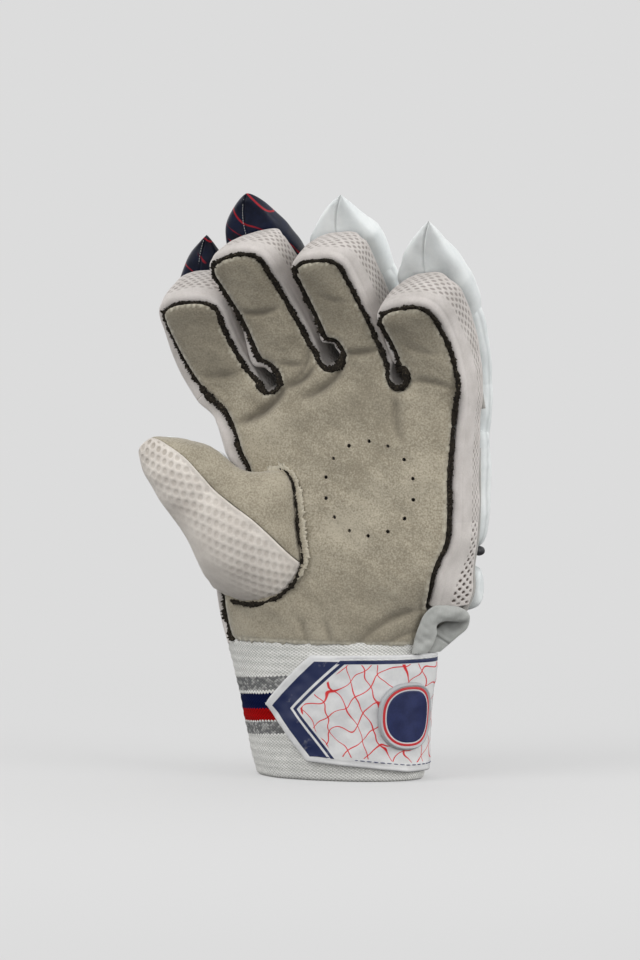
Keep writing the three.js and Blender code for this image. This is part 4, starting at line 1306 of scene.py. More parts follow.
def tuck(edge):
    """How far a seam pulls a sheet's edge in, from the angle to it."""
    return -0.3 * hump(edge, 0, 2.6)


def mesh_relief(along, turn, along_mm, round_mm, points, edge):
    opened = ramp(edge, 3, 8) * (1 - 0.9 * ramp(turn, 104, 140)) * ramp(along, 0.03, 0.09)
    opened = opened * (1 - ramp(along, 0.88, 0.95)) * (1 - ramp(turn, 160, 185))
    hole = hole_share(along_mm, round_mm, *THUMB_LATTICE)
    welt = 0.5 * hump(edge, 1.6, 1.5)
    far = ramp(along, 0.5, 0.85)
    rise = welt - lerp(0.42, 0.6, far) * hole * opened + 0.2 * ripple(points, 16, 61)
    # The holes darken towards the tip, and the shade mark darkens the tip and the far side: painted shade.
    deeper = lerp(0.3, 1.0, far * (1 - ramp(edge, 14, 40)))
    return rise, {"open": opened * deeper, "shade": 0.12 * far + 0.06 * ramp(turn, 100, 150)}


def suede_relief(along, turn, along_mm, round_mm, points, edge):
    fold = 0.8 * hump(along, 0.1, 0.03) * ramp(turn, -30, 40)
    rise = tuck(edge) - fold + 0.35 * ripple(points, 15, 62) + 0.08 * ripple(points, 4, 63)
    # Painted shade: the thumb's suede is darker all over, and more at its seams and in the fold.
    painted_shade = np.clip(0.26 + 0.2 * hump(edge, 0, 3) + 0.6 * fold, 0, 1)
    return rise, {"painted_shade": painted_shade, "pale": np.zeros_like(painted_shade)}


def shell_relief(along, turn, along_mm, round_mm, points, edge):
    # Painted shade along the seams.
    return tuck(edge) + 0.2 * ripple(points, 12, 64), {"painted_shade": 0.7 * hump(edge, 0, 3)}


def rear_seam(along):
    return column(SEAMS, "rear", along, key="along")


SEAM_GAP = 0.4
thumb_mesh_piece = thumb_sheet(
    "thumb_mesh_side", "thumb_mesh", thumb_mesh_cloth, (190, 110),
    lambda u: front_seam(u) + SEAM_GAP, lambda u: np.full_like(u, BACK_SEAM - SEAM_GAP), mesh_relief, MESH)
thumb_suede_piece = thumb_sheet(
    "thumb_suede_side", "thumb_palm", suede, (110, 70),
    lambda u: rear_seam(u) - 360 + SEAM_GAP, lambda u: front_seam(u) - SEAM_GAP,
    suede_relief, SUEDE)
thumb_shell_piece = thumb_sheet(
    "thumb_back_leather", "thumb_shell", white_leather, (80, 40),
    lambda u: np.full_like(u, BACK_SEAM + SEAM_GAP), lambda u: rear_seam(u) - SEAM_GAP,
    shell_relief, SUEDE)

# %% The binding where the thumb leaves the palm
THUMB_SEAM_FROM = -13


def thumb_base_line(turns, steps=400):
    """Where the thumb's surface comes through the palm leather, for some angles round the thumb."""
    along = np.linspace(0, 0.5, steps)
    line = []
    for turn in turns:
        points = thumb_point(along, np.full(steps, turn), 0.0)
        out = points[:, 1] < palm_y(points[:, 0], points[:, 2]) - SUEDE
        line.append(points[out.argmax()] if out.any() else points[0])
    return smoothed(np.array(line), 4)


def thumb_seam(first, last, outward):
    """A line on the palm just outside the thumb, and the directions away from the thumb along it."""
    line = thumb_base_line(np.linspace(first, last, last - first))
    line = curve_through(line[::6], BINDING_STEP)
    away = line - np.array([THUMB[0]["x"], 0, THUMB[0]["z"]])
    away[:, 1] = 0
    away = unit(away)
    y = palm_y(line[:, 0], line[:, 2]) - SUEDE - 1.4
    return stack(line[:, 0], y, line[:, 2]) + away * outward, away, np.broadcast_to(-Y, line.shape)


def suede_edge(line, out, up, name, seed, broad, high):
    """A raw edge of suede that lies on the palm, pale along its outer side, with painted shade along its
    inner side.
    """
    bm = frayed_strip(line, out, up, seed, broad, high)
    layer = bm.verts.layers.float["outer"]
    outer = np.array([v[layer] for v in bm.verts])
    paint(bm, "painted_shade", 0.35 * (1 - ramp(outer, -0.6, 0.3)))
    paint(bm, "pale", 0.55 * ramp(outer, 0.1, 0.9))
    return finish(bm, name, suede)


def make_selvedge():
    line, away, up = thumb_seam(THUMB_SEAM_FROM, 84, 0.6)
    half = np.sqrt(np.sin(np.pi * np.linspace(0.04, 0.97, len(line))))
    return suede_edge(line + away * tall(2.4 * half), away, up, "thumb_selvedge", 45, 2.3 * half, 0.75)


FLAP = np.array([(-31.6, 145.2), (-29.2, 149.0), (-23.6, 153.4), (-18.4, 154.9)])


def make_flap():
    """The corner of suede that is folded out where the thumb's seam begins."""
    x, z = FLAP.T
    line = curve_through(stack(x, palm_y(x, z) - SUEDE - 1.0, z), BINDING_STEP)
    out = np.broadcast_to(unit(np.array([-0.42, 0, 0.9])), line.shape)
    broad = 3.9 * ramp(np.linspace(0, 1, len(line)), -0.3, 0.5)
    return suede_edge(line, out, np.broadcast_to(-Y, line.shape), "thumb_flap", 47, broad, 1.1)


thumb_line, thumb_out, thumb_up = thumb_seam(THUMB_SEAM_FROM, 160, 1.2)
thumb_broad = lerp(0.65, 1.0, ramp(np.linspace(0, 1, len(thumb_line)), 0, 0.2))
thumb_binding = finish(
    frayed_strip(thumb_line, thumb_out, thumb_up, 41, thumb_broad), "thumb_binding_strip", binding,
    ["thumb_binding"])
make_selvedge()
make_flap()

# %% [markdown]
# ## Finger caps, rolls and pads
#
# The back of a batting glove is a row of stuffed rolls, and each finger ends in a pointed cap. They are
# padded pieces, so each starts as a ball whose points are moved to a blunt pillow. The covers are sewn from
# two halves, so a seam runs round each pad, and the caps have one down the middle of the palm side with
# stitches.

# %% Pads
BLUNT = 0.34
PILLOW_SQUARE = 2.8
ROLL_GAP = 2.2
PAD_FRONT = BACK_Y + BACKING + 3 * GAP
ROOT_HALF = 16.8
HAND_PADS = table(
    "x half low high",
    (-51, 16.5, 115, 160),
    (-17, 16.5, 115, 168),
    (18, 17.5, 115, 170),
    (54, 17.8, 115, 165)
)
ROLLS = (("knuckle_roll", -0.72, -0.02), ("middle_roll", 0.03, 0.55))


def ball(around, rings):
    """A ball as a blunt pillow. along, side and deep run from -1 to 1, and full is its width there."""
    bm = bmesh.new()
    bmesh.ops.create_uvsphere(bm, u_segments=around, v_segments=rings, radius=1.0)
    co = np.array([v.co for v in bm.verts])
    ring = np.maximum(np.hypot(co[:, 0], co[:, 1]), 1e-6)
    full = np.sqrt(np.maximum(0, 1 - co[:, 2] ** 2)) ** BLUNT
    along = blunt(co[:, 2], 0.8)
    side, deep = co[:, 0] / ring, co[:, 1] / ring
    corner = (np.abs(side) ** PILLOW_SQUARE + np.abs(deep) ** PILLOW_SQUARE) ** (1 / PILLOW_SQUARE)
    corner = np.where(corner > 0, corner, 1)
    return bm, along, side / corner, deep / corner, full


def roll_point(n, along, side, deep, beyond=0.0, end_half=None, end_shift=None):
    finger, pad = FINGERS[n], HAND_PADS[n]
    along, side, deep, beyond = np.broadcast_arrays(along, side, deep, beyond)
    grown = np.clip(along, 0, 1)
    half = lerp(ROOT_HALF, end_half or finger["rollHalf"], grown)
    shift = grown * (finger["shift"] if end_shift is None else end_shift)
    front = deep_of(along) + ROLL_GAP + (1 - grown) * 3
    thick = PAD_DEEP * (deep + 1) / 2
    upper = finger_point(finger, np.maximum(along, 0), shift + half * side, front + thick, beyond)
    root = finger_point(finger, np.zeros(1), 0.0, deep_of(0) + ROLL_GAP + 3)[0]
    _, forward, across, _ = finger_frame(finger, np.zeros(1))
    drop = np.maximum(0, -along)
    straight = tall(ramp(drop, 0, 0.3))
    sideways = unit(lerp(across, X, straight))
    down = unit(lerp(-forward, -Z, straight))
    lower = root + down * tall(drop * finger_length(finger))
    lower[:, 0] = lerp(root[0], pad["x"], ramp(drop, 0, 0.7))
    lower = lower + sideways * tall(half * side)
    lower[:, 1] = max(root[1], PAD_FRONT) + thick
    return np.where(tall(along >= 0), upper, lower)


def seam_dip(value, at, wide, deep):
    return -deep * hump(value, at, wide)


def squared(side, along, full, low, high):
    """Makes a pad's right edge run on, almost square, towards the next pad below and above it."""
    square = lerp(full, full**0.12, np.where(along < 0, low, high))
    return lerp(full, square, ramp(side, 0.0, 0.8))


def make_pad(name, nodes, place, seed, around=56, rings=48, tight=1.0, low=0.0, high=0.0):
    bm, along, side, deep, full = ball(around, rings)
    full = squared(side, along, full, low, high)
    move(bm, place(along, side * full, deep * full))
    bmesh.ops.recalc_face_normals(bm, faces=bm.faces)
    bm.normal_update()
    points = np.array([v.co for v in bm.verts])
    normal = np.array([v.normal for v in bm.verts])
    seam = seam_dip(deep, -0.25, 0.13, 0.55) * ramp(full, 0.2, 0.7)
    pucker = 0.22 * hump(deep, -0.25, 0.4) * ripple(points, 5.5, seed)
    soft = 0.3 * tight * ripple(points, 15, seed + 1)
    move(bm, points + normal * tall(seam + pucker + soft))
    # Painted shade in the seam's groove.
    paint(bm, "painted_shade", np.clip(-seam * 1.2, 0, 1))
    return finish(bm, name, white_leather, nodes)


pads = []
for n, name in enumerate(FINGER_NAMES):
    outer = float(n >= 2)
    for kind, start, end in ROLLS:
        low, high = start - 0.13 * outer, end + 0.13 * outer
        pads.append(make_pad(
            f"{name}_{kind}_cover", [f"{name}_{kind}"],
            lambda along, side, deep: roll_point(n, lerp(low, high, (along + 1) / 2), side, deep),
            100 + n, low=outer, high=outer * lerp(1, 0.6, end > 0)))
    pad = HAND_PADS[n]
    pads.append(make_pad(
        f"{name}_hand_pad_cover", [f"{name}_hand_pad"],
        lambda along, side, deep: stack(
            pad["x"] + pad["half"] * side, PAD_FRONT + PAD_DEEP * (deep + 1) / 2,
            lerp(pad["low"], pad["high"] + 9 * outer, (along + 1) / 2)),
        110 + n, high=outer))

WRIST_PAD = dict(left=-62, right=68.4, low=81.8, high=113, fall=3)


def wrist_pad_place(along, side, deep):
    x = lerp(WRIST_PAD["left"], WRIST_PAD["right"], (along + 1) / 2)
    high = WRIST_PAD["high"] - WRIST_PAD["fall"] * ramp(x, 40, 68)
    z = lerp(WRIST_PAD["low"], high, (side + 1) / 2)
    front = np.maximum(back_y(x, z), BACK_Y) + BACKING + 4 * GAP
    return stack(x, front + (PAD_DEEP - 3) * (deep + 1) / 2, z)


pads.append(make_pad("wrist_pad_cover", ["wrist_pad"], wrist_pad_place, 120, rings=80))
THUMB_PADS = (("thumb_back_pad", 0.46, 0.66, 9), ("thumb_tip_pad", 0.68, 0.94, 8))
PAD_MIDDLE = 262.0
PAD_REACH = 40.0
for name, start, end, deep_mm in THUMB_PADS:
    pads.append(make_pad(
        name + "_cover", [name],
        lambda along, side, deep: thumb_point(
            lerp(start, end, (along + 1) / 2), PAD_MIDDLE + PAD_REACH * side, 2.4 + deep_mm * (deep + 1) / 2),
        125, around=44, rings=36, tight=0.5))

# %% [markdown]
# ### The pointed caps
#
# A cap is the last roll, drawn out to a point. Its seam is a ridge with a groove on each side, and short
# stitches lie beside it. Two caps are navy with thin red lines, and two are white.

# %% Navy leather with fine red lines
NAVY = rgb(13, 17, 32)
NAVY_LIGHT = rgb(24, 32, 58)
RED_LINE = rgb(158, 26, 38)
LINE_TURN = (0.0, 0.85, 0.1)
LINE_PITCH = 8.5


def make_navy():
    material, tree, shader = finish_shader("navy_leather", 0.45, Coat_Weight=0.04, Coat_Roughness=0.3)
    shader.inputs["Specular IOR Level"].default_value = 0.25
    place = place_of(tree)
    grain = use(tree, leather_grain, place, Cell_mm=0.9, Wrinkle_mm=14.0)
    tone = use(tree, mottle, place, Patch_mm=14.0, Speck_mm=2.0, Speck_share=0.2)["Tone"]
    colour = tint(tree, between(tree, tone, 0.35, 0.7), NAVY, NAVY_LIGHT)
    turned = put(tree, "ShaderNodeMapping", {"Vector": place, "Rotation": LINE_TURN}).outputs[0]
    warp = noise(tree, place, 42.0, 1.0)["Fac"]
    split = axes(tree, turned)
    even = times(tree, split["X"], 1000.0 / LINE_PITCH)
    shifted = maths(tree, "ADD", even, times(tree, warp, 1.6))
    away = maths(tree, "ABSOLUTE", maths(tree, "SUBTRACT", maths(tree, "FRACT", shifted), 0.5))
    facing = put(tree, "ShaderNodeNewGeometry").outputs["Normal"]
    across = tuple(Euler(LINE_TURN).to_matrix()[0])
    both = {0: facing, 1: across}
    slope = put(tree, "ShaderNodeVectorMath", both, operation="DOT_PRODUCT").outputs["Value"]
    level = maths(tree, "SUBTRACT", 1.0, times(tree, slope, slope))
    thin = maths(tree, "SQRT", maths(tree, "MAXIMUM", 0.02, level))
    line = between(tree, maths(tree, "DIVIDE", away, thin), 0.035, 0.06, 1.0, 0.0)
    broken = noise(tree, place, 75.0, 2.0)["Fac"]
    line = times(tree, line, between(tree, broken, 0.36, 0.5))
    colour = tint(tree, line, colour, RED_LINE)
    tree.links.new(colour, shader.inputs["Base Color"])
    tree.links.new(between(tree, tone, 0.3, 0.7, 0.36, 0.5), shader.inputs["Roughness"])
    bump(tree, shader, grain["Height"], 0.4, 0.2)
    return material


navy_leather = make_navy()
CAP_FROM = 0.6
CAPS = table(
    "half shift rise lean sharp power base",
    (15.9, -1.7, 30.8, 9.1, 1.48, 0.88, 0.3), (17.9, -0.1, 28.3, 8.6, 1.47, 0.74, 0.16),
    (18.7, 3.9, 26.4, 9.3, 1.3, 1.04, 0.1), (19, 6.4, 41.2, 14.2, 1.82, 1.03, 0.1)
)


def cap_width(n, along):
    """How wide the cap still is, as a share, on its way to the point."""
    cap = CAPS[n]
    return np.maximum(0, 1 - np.maximum(0, along) ** cap["sharp"]) ** cap["power"]


def cap_point(n, along, side, deep):
    """A point of a cap. Past the finger's end it narrows to the point, which leans to the right."""
    cap = CAPS[n]
    at = np.where(along < 0, lerp(1, CAP_FROM, -along), 1)
    rise = np.maximum(0, along)
    narrow = cap_width(n, along)
    points = roll_point(n, at, side * narrow, deep * narrow, rise * cap["rise"], cap["half"], cap["shift"])
    return points + X * tall(cap["lean"] * rise * rise)


def make_cap(n, name, material):
    bm, along, side, deep, full = ball(144, 84)
    low_full = np.where(along < 0, full ** CAPS[n]["base"], 1)
    move(bm, cap_point(n, along, side * low_full, deep * low_full))
    bmesh.ops.recalc_face_normals(bm, faces=bm.faces)
    bm.normal_update()
    points = np.array([v.co for v in bm.verts])
    normal = np.array([v.normal for v in bm.verts])
    width = CAPS[n]["half"] * cap_width(n, along)
    aside = np.abs(side) * width
    front = ramp(-deep, 0.1, 0.5) * ramp(along, -0.6, -0.2) * np.minimum(1, width / 3)
    seam = front * (0.16 * hump(aside, 1.2, 0.8) - 0.5 * hump(aside, 0, 0.5))
    pucker = 0.14 * front * hump(aside, 0, 4.5) * ripple(points, 4.5, 140 + n)
    soft = 0.35 * ripple(points, 17, 150 + n) * np.minimum(1, width / 10)
    move(bm, points + normal * tall(seam + pucker + soft))
    # Painted shade in the seam's groove.
    paint(bm, "painted_shade", np.clip(-seam, 0, 1))
    return finish(bm, name + "_cap", material, [name + "_tip"])


CAP_LOOKS = (
    ("navy_leather", navy_leather),
    ("navy_leather", navy_leather),
    ("white_leather", white_leather),
    ("white_leather", white_leather),
)
caps = []
for n, (slot, material) in enumerate(CAP_LOOKS):
    caps.append(make_cap(n, FINGER_NAMES[n], material))
for pad in pads + caps:
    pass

# %% [markdown]
# ## Stitches
#
# A stitch is a short thread, pulled down at both ends. One low ball, made long and thin, is copied along
# each seam. Few faces are enough, because there are hundreds.

# %% Rows of stitches
def stitch_row(bm, line, up, long, gap, thick):
    """Adds stitches along a line of points. up points out of the leather at each."""
    at = chord_of(line)
    starts = np.arange(0.3, at[-1] - long, long + gap)
    for start in starts:
        ends = [np.array([np.interp(start + d, at, line[:, k]) for k in range(3)]) for d in (0, long)]
        lift = unit(np.array([np.interp(start + long / 2, at, up[:, k]) for k in range(3)]))
        run = unit(ends[1] - ends[0])
        across = unit(np.cross(lift, run))
        lift = np.cross(run, across)
        frame_ = Matrix(np.array([across * thick, lift * thick, run * (long / 2 + 0.15)]).T.tolist()).to_4x4()
        frame_.translation = Vector((ends[0] + ends[1]) / 2 + lift * thick * 0.35)
        bmesh.ops.create_uvsphere(bm, u_segments=6, v_segments=4, radius=1.0, matrix=frame_)


def cap_seam(n, aside):
    """A line beside a cap's seam, and the directions out of the leather along it."""
    along = np.linspace(0.93, -0.42, 60)
    width = CAPS[n]["half"] * np.maximum(0.05, cap_width(n, along))
    line = cap_point(n, along, aside / width, -np.ones_like(along))
    back = unit(cap_point(n, along, aside / width, np.ones_like(along)) - line)
    return line, -back


def make_seam_stitches():
    bm = bmesh.new()
    for n in range(4):
        line, up = cap_seam(n, -0.8)
        stitch_row(bm, line, up, long=0.5, gap=0.85, thick=0.15)
    return finish(bm, "cap_stitches", thread)


make_seam_stitches()

# %% [markdown]
# ## The back of the hand
#
# Behind the pads lie plain lining sheets that close the hand and each finger. They show only between the
# rolls, get a fine weave, and are a darker grey as painted shade.

# %% Lining sheets
def make_lining_finish():
    material, tree, shader = finish_shader("lining", 0.85)
    place = place_of(tree)
    tone = use(tree, mottle, place, Patch_mm=12.0, Speck_mm=0.8, Speck_share=0.4)["Tone"]
    # The darker grey is painted shade, for the lining seen between the rolls and through the tape's slit.
    colour = tint(tree, between(tree, tone, 0.3, 0.7), rgb(160, 157, 152), rgb(184, 181, 176))
    tree.links.new(colour, shader.inputs["Base Color"])
    weave = put(tree, "ShaderNodeTexVoronoi", {"Vector": place, "Scale": 1100.0}).outputs["Distance"]
    bump(tree, shader, weave, 0.4, 0.2)
    return material


lining = make_lining_finish()
BACK_TOP = 166.0
BACK_ARCH = 12.0


def lining_sheet(name, node, cells, place, thick):
    bm, u, v = grid(*cells)
    points = place(u, v)
    move(bm, points + ripple(points, 16, 170)[:, None] * 0.25 * Y)
    lay_uv(bm, u * 100, v * 100)
    face_outwards(bm, Y)
    return finish(bm, name, lining, [node], thick=thick)


def back_place(u, v):
    z = lerp(HAND_LOW + GAP, BACK_TOP + BACK_ARCH * np.sin(np.pi * u), v)
    x = lerp(column(HAND, "backLeft", z) + GAP, column(HAND, "backRight", z) - GAP, u)
    return stack(x, back_y(x, z) + 2 * GAP + BACKING, z)


FINGER_LINING = BACKING * 0.6
linings = [(lining_sheet("back_lining", "back_panel", (60, 50), back_place, BACKING), (0.145, 0.12))]
BACKING_FROM = -0.36
BACKING_TO = 1.05
for n, name in enumerate(FINGER_NAMES):
    finger = FINGERS[n]

    def finger_back_place(u, v):
        along = lerp(BACKING_FROM, BACKING_TO, v)
        side = (2 * u - 1) * (half_of(finger, along) * FLARE - 1.5)
        shift = finger["shift"] * np.clip(along, 0, 1)
        return finger_point(finger, along, side + shift, deep_of(along) + GAP + FINGER_LINING)

    piece = lining_sheet(name + "_lining", name + "_backing", (16, 32), finger_back_place, FINGER_LINING)
    linings.append((piece, (0.036, 0.08)))

# %% [markdown]
# ## The knitted cuff
#
# The cuff is a wide rib knit tube, ribbed by its stitches and striped in navy, red and grey. The tube has
# real thickness, rolled ends and a slight sag. Stitches are too small for geometry, so a node group draws
# them as a height: one bump for each loop, each row shifted by half a loop from the next.

# %% Knit stitches as a node group
WALE = 1.9
COURSE = 1.5
VALLEY_SHADE = (0.72, 0.72, 0.71, 1)


def make_knit_group():
    """Bumps in a staggered lattice. Row counts half courses, so it steps once a bump, and Column with it."""
    spacing = {"Wale mm": WALE, "Course mm": COURSE}
    tree, given, out = group("knit_bumps", spacing, ["Height", "Column", "Row"])
    split = axes(tree, given["Vector"])
    wales = maths(tree, "DIVIDE", times(tree, split["X"], 1000.0), given["Wale mm"])
    courses = maths(tree, "DIVIDE", times(tree, split["Y"], 1000.0), given["Course mm"])
    waves, cells = [], []
    for operation in ("ADD", "SUBTRACT"):
        slanted = maths(tree, operation, wales, courses)
        waves.append(maths(tree, "COSINE", times(tree, slanted, 2 * np.pi)))
        cells.append(maths(tree, "FLOOR", maths(tree, "ADD", slanted, 0.5)))
    tree.links.new(between(tree, maths(tree, "ADD", *waves), -1.3, 1.4), out["Height"])
    tree.links.new(maths(tree, "ADD", *cells), out["Column"])
    tree.links.new(maths(tree, "SUBTRACT", *cells), out["Row"])
    return tree


knit_bumps = make_knit_group()
STRIPES = table(
    "low high red green blue melange",
    (42.4, 49.5, 106, 107, 108, 1.0),
    (33.4, 41.0, 6, 17, 60, 0.0),
    (27.4, 33.4, 168, 4, 6, 0.0),
    (20.4, 26.4, 110, 111, 112, 1.0),
)


def make_knit():
    material, tree, shader = finish_shader("knit", 0.95)
    shader.inputs["Specular IOR Level"].default_value = 0.1
    uv, place = uv_of(tree), place_of(tree)
    pull = noise(tree, uv, 160.0, 2.0)["Color"]
    pulled = put(tree, "ShaderNodeVectorMath", {0: pull, 1: (0.0009, 0.0007, 0.0)}, operation="MULTIPLY")
    loose = put(tree, "ShaderNodeVectorMath", {0: uv, 1: pulled.outputs[0]}, operation="ADD").outputs[0]
    bumps = use(tree, knit_bumps, loose)
    tone = use(tree, mottle, place, Patch_mm=14.0, Speck_mm=1.2, Speck_share=0.5)["Tone"]
    colour = tint(tree, between(tree, tone, 0.3, 0.7), rgb(216, 216, 212), rgb(238, 237, 233))
    level = times(tree, bumps["Row"], COURSE / 2)
    fleck = put(tree, "ShaderNodeTexWhiteNoise", noise_dimensions="2D")
    cell = put(tree, "ShaderNodeCombineXYZ", {"X": bumps["Column"], "Y": bumps["Row"]}).outputs[0]
    tree.links.new(cell, fleck.inputs["Vector"])
    mixed = between(tree, fleck.outputs["Value"], 0.1, 0.7, 0.58, 0.96)
    for stripe in STRIPES:
        inside = times(tree, maths(tree, "GREATER_THAN", level, stripe["low"]),
                       maths(tree, "LESS_THAN", level, stripe["high"]))
        if stripe["melange"]:
            inside = times(tree, inside, mixed)
        colour = tint(tree, inside, colour, rgb(stripe["red"], stripe["green"], stripe["blue"]))
    valley = between(tree, bumps["Height"], 0.0, 0.6, 1.0, 0.0)
    colour = tint(tree, valley, colour, VALLEY_SHADE, blend="MULTIPLY")
    tree.links.new(colour, shader.inputs["Base Color"])
    bump(tree, shader, bumps["Height"], 0.6, 0.42)
    return material


knit = make_knit()
CUFF_TOP = 65.4
UNDER_PALM = 5.0
KNIT = 2.2
STRIPE_RISE = 4.5
angles = np.radians(np.linspace(0, 360, 721))
CUFF_ROUND = float(np.linalg.norm(np.diff(oval_point(angles, 33.0, 0.0), axis=0), axis=1).sum())
WALES = round(CUFF_ROUND / WALE)


def make_cuff():
    bm, u, v = grid(420, 80)
    angle = 2 * np.pi * u
    top = CUFF_TOP + UNDER_PALM * ramp(np.cos(angle), 0.15, 0.5)
    z = v * top
    hem = -1.6 * np.exp(-z / 1.2) - 1.3 * np.exp(-(top - z) / 1.0)
    rib = 0.14 * np.sin(2 * np.pi * z / 4.1) + 0.35 * ripple(oval_point(angle, z, 0.0), 24, 180)
    seam = -0.5 * hump(z, 4.6, 0.8)
    surface = oval_point(angle, z, 0.0)
    outward = unit(oval_point(angle, z, 1.0) - surface)
    move(bm, surface + outward * tall(hem + rib + seam))
    tilt = STRIPE_RISE * (1 + np.sin(angle))
    lay_uv(bm, u * WALES * WALE, z - tilt)
    bmesh.ops.remove_doubles(bm, verts=bm.verts, dist=0.01)
    centre = np.array([v_.co for v_ in bm.verts])
    face_outwards(bm, unit(centre - np.array([CUFF_MIDDLE_X / 2, 0, 0]) - centre * Z))
    return finish(bm, "cuff_knit", knit, ["cuff"], thick=KNIT)


cuff = make_cuff()

# %% [markdown]
# ## The strap
#
# The strap is a coated band that wraps the cuff and closes on itself, with a pointed end. It is a grid bent
# round the cuff's oval and given thickness. Two distances are kept at each point, to the pointed end's
# edges and to the long edges, and a mark for the upper half. The print's borders are drawn from them, so
# they stay sharp and follow the shape wherever it bends.

# %% The strap's shape
STRAP_POINT = -31.0
STRAP_SHOULDERS = (-6.5, 1.2)
STRAP_END = 186.0
STRAP_POINT_Z = 37.5
STRAP_LOW = (10.0, 4.8)
STRAP_HIGH = (63.2, 64.0)


def strap_edges(angle):
    """The heights of the strap's lower and upper edges at an angle round the cuff."""
    edges = []
    for shoulder, heights in zip(STRAP_SHOULDERS, (STRAP_LOW, STRAP_HIGH)):
        side = np.clip((angle - shoulder) / 70, 0, 1)
        point = np.clip((angle - STRAP_POINT) / (shoulder - STRAP_POINT), 0.02, 1)
        edges.append(lerp(STRAP_POINT_Z, lerp(*heights, side), point))
    return edges


strap_angles = np.linspace(STRAP_POINT, STRAP_END, 1200)
strap_arc = chord_of(oval_point(np.radians(strap_angles), 32.0, GAP))
SHOULDER_ARCS = np.interp(STRAP_SHOULDERS, strap_angles, strap_arc)
STRAP_LONG = float(strap_arc[-1])


def strap_point(arc, z, out):
    return oval_point(np.radians(np.interp(arc, strap_arc, strap_angles)), z, out)


def strap_fields(arc, z):
    """Distances in mm: inside the two slanted edges, and inside the long edges."""
    low, high = STRAP_LOW[0], STRAP_HIGH[0]
    slants = []
    for height, shoulder in zip((low, high), SHOULDER_ARCS):
        run = np.array([shoulder, height - STRAP_POINT_Z])
        across = np.array([-run[1], run[0]]) / np.linalg.norm(run) * np.sign(STRAP_POINT_Z - height)
        slants.append(arc * across[0] + (z - STRAP_POINT_Z) * across[1])
    angle = np.interp(arc, strap_arc, strap_angles)
    lower, upper = strap_edges(np.maximum(angle, STRAP_SHOULDERS[1]))
    return np.minimum(*slants), np.minimum(z - lower, upper - z)


# %% The strap's print
BORDER_SOFT = 0.2
CHEVRON = (3.4, 13.6)
CHEVRON_GAP = (10.9, 12.1)
CHEVRON_EDGE = (3.0, 3.2)
LONG_BORDER = (2.4, 4.3)
BORDER_FROM = (11.0, 11.2)
FIELD_SLANT = (14.6, 14.9)
FIELD_EDGE = (4.6, 4.9)
STRAP_LINES = ((0.55, 105.0), (-1.3, 66.0))


def border(tree, value, low, high):
    """1 between two distances in mm and 0 outside them, with soft edges."""
    risen = between(tree, value, low, low + BORDER_SOFT)
    return times(tree, risen, between(tree, value, high, high + BORDER_SOFT, 1.0, 0.0))


def make_strap_finish():
    material, tree, shader = finish_shader("strap_leather", 0.38, Coat_Weight=0.08, Coat_Roughness=0.25)
    place, uv = place_of(tree), uv_of(tree)
    tone = use(tree, mottle, place, Patch_mm=16.0, Speck_mm=1.5, Speck_share=0.25)["Tone"]
    colour = tint(tree, between(tree, tone, 0.3, 0.7), rgb(211, 211, 212), rgb(226, 226, 225))
    slant, edge = mark_of(tree, "slant"), mark_of(tree, "edge")
    split = axes(tree, uv)
    warp = noise(tree, uv, 60.0, 1.0)["Fac"]
    lines = []
    for lean, close in STRAP_LINES:
        slope = maths(tree, "ADD", split["X"], times(tree, split["Y"], lean))
        wavy = maths(tree, "ADD", times(tree, slope, close), times(tree, warp, 2.1))
        away = maths(tree, "ABSOLUTE", maths(tree, "SUBTRACT", maths(tree, "FRACT", wavy), 0.5))
        lines.append(between(tree, away, 0.022, 0.045, 1.0, 0.0))
    line = maths(tree, "MAXIMUM", *lines)
    field = times(tree, between(tree, slant, *FIELD_SLANT), between(tree, edge, *FIELD_EDGE))
    colour = tint(tree, times(tree, line, field), colour, rgb(214, 38, 42))
    navy = rgb(15, 31, 76)
    gap = border(tree, slant, *CHEVRON_GAP)
    chevron = times(tree, border(tree, slant, *CHEVRON), maths(tree, "SUBTRACT", 1.0, gap))
    chevron = times(tree, chevron, between(tree, edge, *CHEVRON_EDGE))
    band = times(tree, border(tree, edge, *LONG_BORDER), between(tree, slant, *BORDER_FROM))
    mask = maths(tree, "MAXIMUM", chevron, times(tree, band, mark_of(tree, "band")))
    colour = tint(tree, mask, colour, navy)
    scuff = noise(tree, place, 160.0, 4.0)["Fac"]
    colour = tint(tree, between(tree, scuff, 0.62, 0.75, 0.0, 0.25), colour, rgb(206, 204, 202))
    tree.links.new(colour, shader.inputs["Base Color"])
    tree.links.new(between(tree, tone, 0.3, 0.7, 0.28, 0.42), shader.inputs["Roughness"])
    grain = use(tree, leather_grain, place, Cell_mm=0.7, Wrinkle_mm=18.0)
    bump(tree, shader, grain["Height"], 0.3, 0.15)
    return material


strap_leather = make_strap_finish()


def make_strap():
    bm, u, v = grid(340, 80)
    bend = 0.25
    angle = np.where(u < bend, lerp(STRAP_POINT, STRAP_SHOULDERS[1], u / bend),
                     lerp(STRAP_SHOULDERS[1], STRAP_END, (u - bend) / (1 - bend)))
    arc = np.interp(angle, strap_angles, strap_arc)
    low, high = strap_edges(angle)
    z = lerp(low, high, v)
    slant, edge = strap_fields(arc, z)
    rim = np.minimum(np.maximum(slant, 0), np.maximum(edge, 0))
    fold = -0.25 * hump(edge, 2.0, 0.5) * (slant > 9) - 0.5 * np.exp(-rim / 0.5)
    base = strap_point(arc, z, GAP + STRAP)
    soft = 0.3 * ripple(base, 26, 190) + 0.12 * ripple(base, 9, 191)
    move(bm, strap_point(arc, z, GAP + STRAP + fold + soft))
    lay_uv(bm, arc, z)
    for key, values in (("slant", slant), ("edge", edge), ("band", z > 30)):
        paint(bm, key, values)
    outward = strap_point(arc, z, 1.0) - strap_point(arc, z, 0.0)
    face_outwards(bm, outward)
    return finish(bm, "strap_band", strap_leather, ["strap"], thick=STRAP * 0.85)


